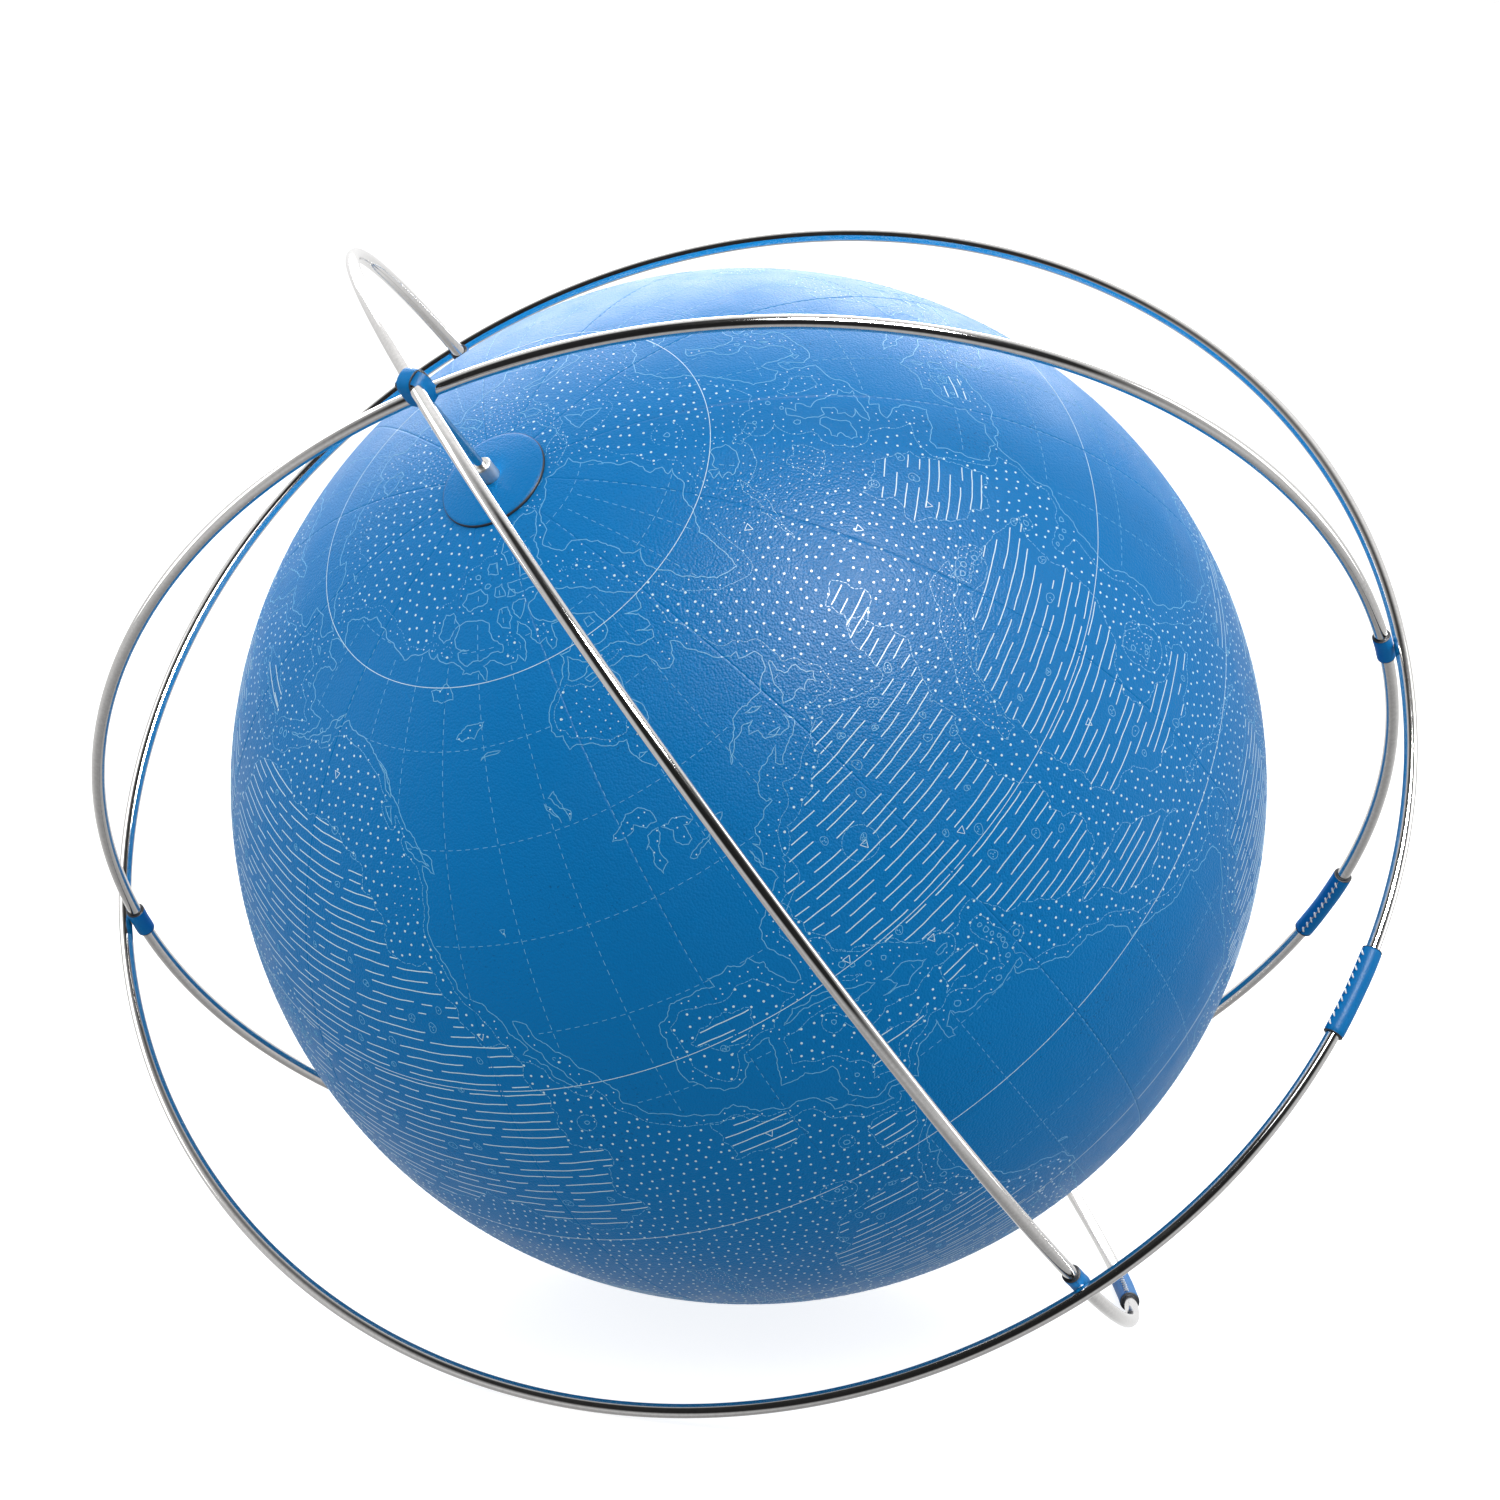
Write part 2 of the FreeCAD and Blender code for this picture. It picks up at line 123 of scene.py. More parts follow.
def sharpen(piece, degrees):
    """Keep edges steeper than the angle crisp under smooth shading."""
    piece.data.set_sharp_from_angle(angle=math.radians(degrees))


def lattice_faces(rows, columns, wrap_rows=False, wrap_columns=True):
    """Quads between neighbouring stations of a grid of vertices, row by row."""
    faces = []
    for row in range(rows if wrap_rows else rows - 1):
        below = row * columns
        above = (row + 1) % rows * columns
        for column in range(columns if wrap_columns else columns - 1):
            beside = (column + 1) % columns
            faces.append((below + column, below + beside, above + beside, above + column))
    return faces


def capped_tube_faces(rows, columns):
    """Faces of a tube with both ends closed."""
    last = (rows - 1) * columns
    caps = [tuple(reversed(range(columns))), tuple(range(last, last + columns))]
    return lattice_faces(rows, columns) + caps


class Ring:
    """A ring of rod: four arcs that meet smoothly, or one circle when the arcs agree.

    A place on it is given by the angle of the ring's outward direction there, from `ahead`.
    """

    def __init__(self, ahead, normal, end_radius, side_radius=None, half_long=None, half_short=None):
        self.normal = normal.normalized()
        self.ahead = (ahead - self.normal * ahead.dot(self.normal)).normalized()
        self.left = self.normal.cross(self.ahead)
        self.end_radius = end_radius
        self.side_radius = side_radius or end_radius
        self.end_shift = (half_long or end_radius) - end_radius
        self.side_shift = self.side_radius - (half_short or end_radius)
        self.join = math.atan2(self.side_shift, self.end_shift) if self.end_shift else 0.0

    def station(self, angle):
        """Point on the centre line, outward direction there, and the ring's normal."""
        outward = self.ahead * math.cos(angle) + self.left * math.sin(angle)
        if not self.end_shift:
            return CENTRE + outward * self.end_radius, outward, self.normal
        if abs(math.sin(angle)) < math.sin(self.join):
            shift = self.ahead * math.copysign(self.end_shift, math.cos(angle))
            return CENTRE + shift + outward * self.end_radius, outward, self.normal
        shift = self.left * -math.copysign(self.side_shift, math.sin(angle))
        return CENTRE + shift + outward * self.side_radius, outward, self.normal

    def angle_of(self, direction):
        """Outward angle at the place that lies in a direction from the centre."""
        target = math.atan2(direction.dot(self.left), direction.dot(self.ahead))
        angle = target
        for _ in range(6):
            place = self.station(angle)[0] - CENTRE
            here = math.atan2(place.dot(self.left), place.dot(self.ahead))
            angle += math.remainder(target - here, 2 * math.pi)
        return angle

    def radius_at(self, angle):
        if self.end_shift and abs(math.sin(angle)) >= math.sin(self.join):
            return self.side_radius
        return self.end_radius


END_SHIFT = OUTER_RADIUS - OVAL_END
OVAL_SIDE = (OVAL_SHORT ** 2 - OVAL_END ** 2 + END_SHIFT ** 2) / (2 * (OVAL_SHORT - OVAL_END))
RINGS = {
    "inner_ring": Ring(RIGHT, POLE.cross(RIGHT), INNER_RADIUS),
    "middle_ring": Ring(POLE, POLE.cross(FRONT), OVAL_END, OVAL_SIDE, OUTER_RADIUS, OVAL_SHORT),
    "outer_ring": Ring(RIGHT, RIGHT.cross(FRONT), OUTER_RADIUS),
}


def sweep(ring, start, end, steps, profile_at):
    """Sweep a closed profile along a stretch of ring. profile_at(t) gives (outward, sideways) offsets."""
    verts = []
    for step in range(steps + 1):
        t = step / steps
        place, outward, side = ring.station(start + (end - start) * t)
        profile = profile_at(t)
        verts += [place + outward * a + side * b for a, b in profile]
    return verts, capped_tube_faces(steps + 1, len(profile))


def circle(radius, count):
    turns = [2 * math.pi * i / count for i in range(count)]
    return [(radius * math.cos(turn), radius * math.sin(turn)) for turn in turns]


def merge(parts):
    """Join lists of (verts, faces) into one."""
    verts, faces = [], []
    for more_verts, more_faces in parts:
        shift = len(verts)
        verts += list(more_verts)
        faces += [tuple(index + shift for index in face) for face in more_faces]
    return verts, faces


def lathe(profile, axis, segments):
    """Closed profile of (radius, height) turned about an axis through the centre."""
    side = axis.orthogonal().normalized()
    other = axis.cross(side)
    verts = []
    for step in range(segments):
        angle = 2 * math.pi * step / segments
        outward = side * math.cos(angle) + other * math.sin(angle)
        verts += [CENTRE + outward * r + axis * h for r, h in profile]
    return verts, lattice_faces(segments, len(profile), wrap_rows=True)


# ---------------------------------------------------------------- materials


class Shader:
    """Small helper round one Principled material."""

    def __init__(self, name, color, roughness, metallic=0.0, **sockets):
        self.material = bpy.data.materials.new(name)
        self.material.use_nodes = True
        self.nodes = self.material.node_tree.nodes
        self.links = self.material.node_tree.links
        self.surface = self.nodes["Principled BSDF"]
        self.set("Base Color", (*color, 1))
        self.set("Roughness", roughness)
        self.set("Metallic", metallic)
        for socket, value in sockets.items():
            self.set(socket.replace("_", " "), value)

    def set(self, socket, value):
        self.surface.inputs[socket].default_value = value

    def node(self, kind, **inputs):
        made = self.nodes.new(kind)
        for name, value in inputs.items():
            if hasattr(value, "is_linked"):
                self.links.new(value, made.inputs[name.replace("_", " ")])
            else:
                made.inputs[name.replace("_", " ")].default_value = value
        return made

    def place(self):
        return self.node("ShaderNodeTexCoord").outputs["Object"]

    def noise(self, scale, detail=3.0, roughness=0.55):
        return self.node("ShaderNodeTexNoise", Vector=self.place(), Scale=scale, Detail=detail,
                         Roughness=roughness).outputs["Fac"]

    def cells(self, scale):
        return self.node("ShaderNodeTexVoronoi", Vector=self.place(), Scale=scale).outputs["Distance"]

    def ramp(self, factor, *stops):
        made = self.node("ShaderNodeValToRGB", Fac=factor)
        elements = made.color_ramp.elements
        while len(elements) < len(stops):
            elements.new(0.5)
        for element, (position, color) in zip(elements, stops):
            element.position = position
            element.color = (*color, 1) if isinstance(color, tuple) else (color, color, color, 1)
        return made.outputs["Color"]

    def bump(self, height, strength, distance, below=None):
        made = self.node("ShaderNodeBump", Height=height, Strength=strength, Distance=distance)
        if below is not None:
            self.links.new(below, made.inputs["Normal"])
        return made.outputs["Normal"]

    def link(self, value, socket):
        self.links.new(value, self.surface.inputs[socket])


def leather_material(name, dark, light, grain, depth, roughness):
    """Dyed leather: pebbled grain with fine pores, slightly uneven dye and shine.

    grain is the number of pebbles in a metre and depth is the height of their bump.
    """
    shader = Shader(name, light, roughness, Specular_IOR_Level=0.09)
    handled = shader.noise(60, 2)
    pebble = shader.ramp(shader.cells(grain), (0.0, 1.0), (0.45, 0.6), (0.9, 0.0))
    pores = shader.noise(grain * 2.2, 4, 0.65)
    patches = shader.noise(28, 4, 0.6)
    dye = shader.node("ShaderNodeMath", Value=shader.noise(grain * 0.9, 2))
    dye.operation = "MULTIPLY_ADD"
    factor, addend = dye.inputs[1], dye.inputs[2]
    factor.default_value = 1.6
    shader.links.new(patches, addend)
    shader.link(shader.ramp(dye.outputs["Value"], (0.85, dark), (1.6, light)), "Base Color")
    shader.link(shader.ramp(handled, (0.3, roughness - 0.05), (0.7, roughness + 0.06)), "Roughness")
    fine = shader.bump(pores, 0.35, depth)
    shader.link(shader.bump(pebble, 0.7, depth, fine), "Normal")
    return shader.material


def steel_material(name, color, roughness, depth):
    """Bright drawn steel: faint patches and fine scratches, with bumps of a depth in metres."""
    shader = Shader(name, color, roughness, metallic=1.0)
    patches = shader.noise(90, 5, 0.65)
    scratches = shader.noise(900, 3, 0.7)
    shader.link(shader.ramp(patches, (0.3, roughness * 0.85), (0.75, roughness * 1.3)), "Roughness")
    coarse = shader.bump(patches, 0.12, depth)
    shader.link(shader.bump(scratches, 0.12, depth * 0.3, coarse), "Normal")
    shader.link(shader.ramp(scratches, (0.25, tuple(c * 0.86 for c in color)), (0.7, color)), "Base Color")
    return shader.material


def painted_material(name, color, roughness, unevenness=0.15):
    """Plain coat of one colour, slightly patchy."""
    shader = Shader(name, color, roughness)
    patches = shader.noise(260, 3)
    dark = tuple(c * (1 - unevenness) for c in color)
    shader.link(shader.ramp(patches, (0.3, dark), (0.7, color)), "Base Color")
    shader.link(shader.bump(patches, 0.2, 0.04 * MM), "Normal")
    return shader.material


BALL_LEATHER = leather_material("ball_leather", dark=(0.0, 0.118, 0.335), light=(0.0, 0.182, 0.50),
                                grain=1500, depth=0.14 * MM, roughness=0.38)
TRIM_LEATHER = leather_material("trim_leather", dark=(0.0, 0.13, 0.39), light=(0.0, 0.17, 0.47),
                                grain=1500, depth=0.05 * MM, roughness=0.45)
EDGE_PAINT = painted_material("edge_paint", (0.012, 0.016, 0.024), 0.5)
ROD_STEEL = steel_material("rod_steel", (0.77, 0.76, 0.75), roughness=0.08, depth=0.04 * MM)
FITTING_STEEL = steel_material("fitting_steel", (0.74, 0.73, 0.71), roughness=0.34, depth=0.004 * MM)
THREAD = painted_material("waxed_thread", (0.93, 0.94, 0.94), 0.6, 0.2)
PLASTIC = painted_material("moulded_shell", (0.62, 0.61, 0.57), 0.55)
PRINT_INK = painted_material("white_print", (0.64, 0.86, 0.94), 0.42, 0.1)
FINE_INK = painted_material("pale_print", (0.15, 0.50, 0.78), 0.42, 0.1)

# ---------------------------------------------------------------- the cage


ROD_STEPS = 900
ROD_SIDES = 40
JOINT_GAP = 0.3 * MM


def build_rods():
    """Each rod runs once round its ring, from one side of its joint to the other."""
    section = circle(ROD, ROD_SIDES)
    for name, ring in RINGS.items():
        joint = ring.angle_of(direction_to(f"{name}_joint_pin"))
        half_gap = JOINT_GAP / 2 / ring.radius_at(joint)
        start, end = joint + half_gap, joint + 2 * math.pi - half_gap
        verts, faces = sweep(ring, start, end, ROD_STEPS, lambda t: section)
        rod = mesh_piece(f"{name}_rod", verts, faces, ROD_STEEL, "stand", replaces=(name,))
        sharpen(rod, 60)


# Where each sleeve's seam lies round its rod: degrees from straight outward towards the ring's normal.
SEAMS = {"inner_ring": -125.0, "middle_ring": 160.0, "outer_ring": -124.0}


def seam_side(name):
    """Place of a sleeve on its ring, and the angle of its stitched seam round the rod."""
    angle = RINGS[name].angle_of(direction_to(f"{name}_sleeve"))
    return angle, math.radians(SEAMS[name])


def sleeve_profile(inner, outer, seam, slit, lips):
    """Strip of leather bent round the rod; its two edges meet at the seam with a slit between them.

    lips is how far the edges turn up beside the slit, over a small share of the way round.
    """
    count, lip_share = 56, 0.035
    half = slit / outer
    ring_out, ring_in = [], []
    for i in range(count + 1):
        turn = seam + half + (2 * math.pi - 2 * half) * i / count
        near = min(i, count - i) / count
        rise = lips * math.exp(-(near / lip_share) ** 2)
        ring_out.append(((outer + rise) * math.cos(turn), (outer + rise) * math.sin(turn)))
        ring_in.append((inner * math.cos(turn), inner * math.sin(turn)))
    return ring_out + ring_in[::-1]


LEATHER_CLEARANCE = 0.02 * MM
LEATHER_WAVE = 0.03 * MM
BEAD_OUT = 0.14 * MM


def leather_tube(name, ring, middle, length, inner, outer, seam, slit, lips, node):
    """Leather strip round a rod with rounded, painted ends."""
    radius = ring.radius_at(middle)
    half = length / 2 / radius
    thick = outer - inner
    round_off = 0.32 * thick / length

    def profile(t):
        edge = min(t, 1 - t)
        ease = 1 - min(1.0, edge / round_off) if edge < round_off else 0.0
        skin = outer - 0.35 * thick * (1 - math.sqrt(max(0.0, 1 - ease * ease)))
        wave = LEATHER_WAVE * math.sin(t * 9.0 + seam * 3)
        return sleeve_profile(inner + LEATHER_CLEARANCE, skin + wave, seam, slit, lips)

    verts, faces = sweep(ring, middle - half, middle + half, 40, profile)
    tube = mesh_piece(name, verts, faces, TRIM_LEATHER, "stand", replaces=(node,))
    sharpen(tube, 50)
    ends = []
    for sign in (-1, 1):
        bead = []
        centre = middle + sign * half
        for step in range(9):
            turn = math.pi * step / 8
            along = math.sin(turn) * BEAD_OUT / radius
            reach = inner + thick * (0.5 - 0.48 * math.cos(turn))
            bead.append((centre + sign * along, reach))
        verts = []
        count = 48
        for angle, reach in bead:
            place, outward, side = ring.station(angle)
            for i in range(count):
                turn = seam + 2 * math.pi * i / count
                verts.append(place + (outward * math.cos(turn) + side * math.sin(turn)) * reach)
        ends.append((verts, lattice_faces(len(bead), count, wrap_rows=True)))
    verts, faces = merge(ends)
    mesh_piece(f"{name}_painted_ends", verts, faces, EDGE_PAINT, "stand")


def thread_bar(points, radius, count=8):
    """Short thread through points, with rounded ends."""
    verts = []
    last = len(points) - 1
    for index, point in enumerate(points):
        ahead = (points[min(index + 1, last)] - points[max(index - 1, 0)]).normalized()
        side = ahead.orthogonal().normalized()
        other = ahead.cross(side)
        size = radius * (0.55 if index in (0, last) else 1.0)
        for i in range(count):
            turn = 2 * math.pi * i / count
            verts.append(point + (side * math.cos(turn) + other * math.sin(turn)) * size)
    return verts, capped_tube_faces(len(points), count)


SEAM_SLIT = 0.12 * MM
SEAM_LIPS = 0.10 * MM
WRAP_SLIT = 0.05 * MM
STITCHES = 10
STITCH_PITCH = 2.5 * MM
STITCH_SLANT = 1.5 * MM
STITCH_ACROSS = 1.15 * MM
STITCH_LIFT = 0.22 * MM
THREAD_RADIUS = 0.28 * MM


def build_sleeves():
    """A stitched leather sleeve over each rod's joint; slanting stitches cross the seam."""
    for name, ring in RINGS.items():
        middle, seam = seam_side(name)
        leather_tube(f"{name}_leather_sleeve", ring, middle, SLEEVE_LENGTH, ROD, SLEEVE, seam,
                     SEAM_SLIT, SEAM_LIPS, f"{name}_sleeve")
        radius = ring.radius_at(middle)
        stitches = []
        for number in range(STITCHES):
            along = (number - (STITCHES - 1) / 2) * STITCH_PITCH
            points = []
            for step in range(9):
                t = step / 8 - 0.5
                angle = middle + (along + t * STITCH_SLANT) / radius
                turn = seam + t * STITCH_ACROSS / SLEEVE
                dive = 0.9 * (2 * t) ** 4 * 0.35 * MM
                reach = SLEEVE + STITCH_LIFT - dive
                place, outward, side = ring.station(angle)
                points.append(place + (outward * math.cos(turn) + side * math.sin(turn)) * reach)
            stitches.append(thread_bar(points, THREAD_RADIUS))
        verts, faces = merge(stitches)
        mesh_piece(f"{name}_thread", verts, faces, THREAD, "stand",
                   replaces=(f"{name}_stitching",))


WRAPPED = {"right": "inner_ring", "left": "inner_ring", "front": "middle_ring", "rear": "middle_ring"}


def build_wraps():
    """A short leather wrap on the inner rod of each crossing."""
    for side, owner in WRAPPED.items():
        ring = RINGS[owner]
        middle = ring.angle_of(direction_to(f"crossing_pin_{side}"))
        leather_tube(f"crossing_leather_{side}", ring, middle, WRAP_LENGTH, ROD, WRAP, 0.0,
                     WRAP_SLIT, 0.0, f"crossing_wrap_{side}")


BAND_THICK = 0.85 * MM
BAND_WIDE = 4.5 * MM
BAND_LEAST_REACH = 3.4 * MM
BAND_EDGE = 0.11 * MM
BAND_ROUNDNESS = 0.62
# Section of a band from the middle: sideways in half widths, outward in thicknesses.
BAND_SECTION = ((-1, 0.2), (-0.97, 0.46), (-0.9, 0.5), (-0.4, 0.53), (0.4, 0.53), (0.9, 0.5), (0.97, 0.46),
                (1, 0.2), (1, -0.3), (0.95, -0.5), (-0.95, -0.5), (-1, -0.3))


def band_loop(run, across, out, low, high, reach, lap):
    """Flat strip that runs round a crossing of rods: over the top, down the sides and underneath."""
    stations, corners = 96, []
    bend = min(reach, (high - low) / 2)
    for i in range(stations):
        turn = 2 * math.pi * i / stations
        c, s = math.cos(turn), math.sin(turn)
        flat = math.copysign(abs(c) ** BAND_ROUNDNESS, c) * reach
        tall = (high + low) / 2 + math.copysign(abs(s) ** BAND_ROUNDNESS, s) * (high - low) / 2
        tall += lap * math.exp(-(flat / (1.2 * bend)) ** 2) * (s > 0)
        corners.append((flat, tall))
    verts, trim_low, trim_high = [], [], []
    for i, (flat, tall) in enumerate(corners):
        before, after = corners[i - 1], corners[(i + 1) % stations]
        along = Vector((after[0] - before[0], after[1] - before[1])).normalized()
        outward = Vector((along.y, -along.x))
        for sideways, skin in BAND_SECTION:
            place = Vector((flat, tall)) + outward * skin * BAND_THICK
            verts.append(CENTRE + run * place.x + out * place.y + across * sideways * BAND_WIDE / 2)
        for line, sign in ((trim_low, -1), (trim_high, 1)):
            line.append(CENTRE + run * flat + out * tall + across * sign * BAND_WIDE / 2)
    strip = verts, lattice_faces(stations, len(BAND_SECTION), wrap_rows=True)
    edges = []
    for line in (trim_low, trim_high):
        ring = []
        for i, point in enumerate(line):
            along = (line[(i + 1) % stations] - line[i - 1]).normalized()
            normal = along.cross(across).normalized()
            for sideways, skin in circle(1.0, 8):
                ring.append(point + across * sideways * BAND_EDGE + normal * skin * BAND_THICK * 0.42)
        edges.append((ring, lattice_faces(stations, 8, wrap_rows=True)))
    return strip, merge(edges)


def build_lashings():
    """Two leather bands cross over the rods at each pole, one lapping the other."""
    for pole, out in (("north", POLE), ("south", -POLE)):
        upper = RINGS["middle_ring"].normal.cross(out).normalized()
        lower = RINGS["inner_ring"].normal.cross(out).normalized()
        if upper.dot(lower) < 0:
            lower = -lower
        high = OUTER_RADIUS + ROD + BAND_THICK * 0.55
        low = INNER_RADIUS - ROD - BAND_THICK * 0.55
        bands, edges = [], []
        for run, lap in (((upper + lower).normalized(), 0.0), ((upper - lower).normalized(), BAND_THICK)):
            across = run.cross(out).normalized()
            clear = (ROD + BAND_THICK * 0.6) / max(abs(across.dot(upper)), abs(across.dot(lower)))
            strip, trim = band_loop(run, across, out, low, high, max(clear, BAND_LEAST_REACH), lap)
            bands.append(strip)
            edges.append(trim)
        verts, faces = merge(bands)
        band = mesh_piece(f"pole_leather_{pole}", verts, faces, TRIM_LEATHER, "stand",
                          replaces=(f"pole_lashing_{pole}",))
        sharpen(band, 50)
        verts, faces = merge(edges)
        mesh_piece(f"pole_leather_edges_{pole}", verts, faces, EDGE_PAINT, "stand")


# ---------------------------------------------------------------- the ball


GORES = 12
GORE_SPAN = 360 / GORES
GORE_TIP = 4.05 * MM
SEAM_DIP = 0.14 * MM
SEAM_WIDTH = 0.34 * MM


def unit(lon, lat):
    """Unit vectors in the globe's axes for longitude and latitude in degrees."""
    lon, lat = np.radians(lon), np.radians(lat)
    return np.stack([np.cos(lat) * np.cos(lon), np.cos(lat) * np.sin(lon), np.sin(lat)], axis=-1)


def to_world(directions, radius):
    """World points at a radius along unit vectors in the globe's axes."""
    return CENTRE_NP + (directions * radius[..., None]) @ GLOBE_NP.T


def skin_radius(away):
    """Radius of the leather at a distance from the nearest seam: it rolls down at the seams."""
    return GLOBE_RADIUS - SEAM_DIP * np.exp(-(away / SEAM_WIDTH) ** 2 * 2.2)


def build_gores():
    """Twelve leather segments; each rolls down slightly where it meets its neighbour."""
    tip = math.degrees(GORE_TIP / GLOBE_RADIUS)
    lats = np.linspace(-90 + tip, 90 - tip, 361)
    # The first columns from each edge stand close together, where the leather rolls down.
    near = np.array([0, 0.06, 0.13, 0.22, 0.34, 0.5, 0.8]) * MM
    for number in range(GORES):
        west = number * GORE_SPAN
        rows = []
        for lat in lats:
            shrink = max(math.cos(math.radians(lat)), 0.02)
            edge = np.degrees(near / GLOBE_RADIUS / shrink)
            edge = np.minimum(edge, (GORE_SPAN / 2 - 0.5) * near / near[-1])
            middle = np.linspace(edge[-1], GORE_SPAN - edge[-1], 25)[1:-1]
            lon = np.concatenate([edge, middle, GORE_SPAN - edge[::-1]])
            away = np.radians(np.minimum(lon, GORE_SPAN - lon)) * shrink * GLOBE_RADIUS
            rows.append(to_world(unit(west + lon, np.full(lon.shape, lat)), skin_radius(away)))
        top = np.array(rows)
        shape = top.shape
        inside = CENTRE_NP + (top - CENTRE_NP) * ((GLOBE_RADIUS - LEATHER) / GLOBE_RADIUS)
        verts = np.concatenate([top.reshape(-1, 3), inside.reshape(-1, 3)])
        outer_faces = lattice_faces(shape[0], shape[1], wrap_columns=False)
        shift = shape[0] * shape[1]
        inner_faces = [tuple(reversed([i + shift for i in face])) for face in outer_faces]
        rim = ([i for i in range(shape[1])]
               + [r * shape[1] + shape[1] - 1 for r in range(1, shape[0])]
               + [(shape[0] - 1) * shape[1] + c for c in range(shape[1] - 2, -1, -1)]
               + [r * shape[1] for r in range(shape[0] - 2, 0, -1)])
        side_faces = [(a, a + shift, b + shift, b) for a, b in zip(rim, rim[1:] + rim[:1])]
        faces = outer_faces + inner_faces + side_faces
        label = f"{number + 1:02d}"
        gore = mesh_piece(f"leather_segment_{label}", verts, faces, BALL_LEATHER, "globe",
                          replaces=(f"leather_gore_{label}",))
        sharpen(gore, 50)


CAP_RADIUS = 15.5 * MM
CAP_HOLE = 2.85 * MM
CAP_PUFF = 0.35 * MM
CROWN_RADIUS = 14.4 * MM
CROWN_HOLE = 2.9 * MM
# The cap's rounded rim: radius, and depth below the dome, in millimetres.
CAP_RIM = ((15.5, 1.0), (15.5, 0.62), (15.42, 0.4), (15.2, 0.2), (14.85, 0.06))
# The painted edge: radius, and height above the cap's foot, in millimetres.
CAP_EDGE = ((15.42, -0.1), (15.62, -0.1), (15.66, 0.2), (15.58, 0.72), (15.40, 0.8))


def height_on(radius, distance):
    """Height on a sphere of a radius, at a distance from its axis."""
    return math.sqrt(radius ** 2 - distance ** 2)


def build_poles():
    """Domed cap with a painted edge, threaded collar and running pin at each pole."""
    dome = GLOBE_RADIUS + LEATHER
    for pole, out in (("north", POLE), ("south", -POLE)):
        profile = []
        for step in range(13):
            reach = CAP_HOLE + (CAP_RADIUS - CAP_HOLE) * step / 12
            profile.append((reach, height_on(GLOBE_RADIUS, reach)))
        for reach, drop in CAP_RIM:
            profile.append((reach * MM, height_on(dome, reach * MM) - drop * MM))
        for step in range(11):
            reach = CROWN_RADIUS - (CROWN_RADIUS - CROWN_HOLE) * step / 10
            puff = CAP_PUFF * math.sin(math.pi * min(1.0, reach / CAP_RADIUS)) ** 2
            profile.append((reach, height_on(dome, reach) + puff))
        verts, faces = lathe(profile, out, 160)
        cap = mesh_piece(f"cap_leather_{pole}", verts, faces, BALL_LEATHER, "globe",
                         replaces=(f"polar_cap_{pole}",))
        sharpen(cap, 50)
        foot = height_on(GLOBE_RADIUS, CAP_RADIUS)
        edge = [(reach * MM, foot + rise * MM) for reach, rise in CAP_EDGE]
        verts, faces = lathe(edge, out, 160)
        mesh_piece(f"cap_edge_{pole}", verts, faces, EDGE_PAINT, "globe")
        build_collar(pole, out)


def build_collar(pole, out):
    """Threaded collar with a blind running hole, and the pin that runs in it."""
    foot, floor, thread_end, top = 141.5 * MM, 147.9 * MM, 150.6 * MM, 156.5 * MM
    bore, face, chamfer, axis = 1.35 * MM, 2.5 * MM, 0.15 * MM, 0.05 * MM
    crest, root, pitch = 2.8 * MM, 2.76 * MM, 0.5 * MM
    profile = [(axis, floor), (bore, floor), (bore, top - chamfer), (bore + chamfer, top), (face, top)]
    height = top - 2 * chamfer
    while height > thread_end:
        profile += [(crest - 0.03 * MM, height), (crest, height - 0.1 * MM),
                    (root, height - pitch * 0.5), (root, height - pitch * 0.6)]
        height -= pitch
    profile += [(crest, height), (crest, foot), (axis, foot)]
    verts, faces = lathe(profile, out, 72)
    collar = mesh_piece(f"threaded_collar_{pole}", verts, faces, FITTING_STEEL, "globe",
                        replaces=(f"bearing_collar_{pole}",))
    sharpen(collar, 30)
    tip, end = 148.0 * MM, OUTER_RADIUS
    pin_radius, chamfer, axis = 1.3 * MM, 0.3 * MM, 0.02 * MM
    profile = [(axis, tip), (pin_radius - chamfer, tip), (pin_radius, tip + chamfer), (pin_radius, end),
               (axis, end)]
    verts, faces = lathe(profile, out, 64)
    pin = mesh_piece(f"axis_rod_{pole}", verts, faces, ROD_STEEL, "stand",
                     replaces=(f"axis_pin_{pole}",))
    sharpen(pin, 30)


def dress_plain_nodes():
    """CAD nodes that keep their own shape get their real materials."""
    for name, node in NODES.items():
        if "shell" in name or "band" in name:
            paint = PLASTIC
        elif "pin" in name or "nut" in name or "washer" in name:
            paint = FITTING_STEEL
        else:
            continue
        node.data.materials.clear()
        node.data.materials.append(paint)


# ---------------------------------------------------------------- the printed map: outlines

# Longitude,latitude in degrees. Round stretches and crinkles are added by roughen().

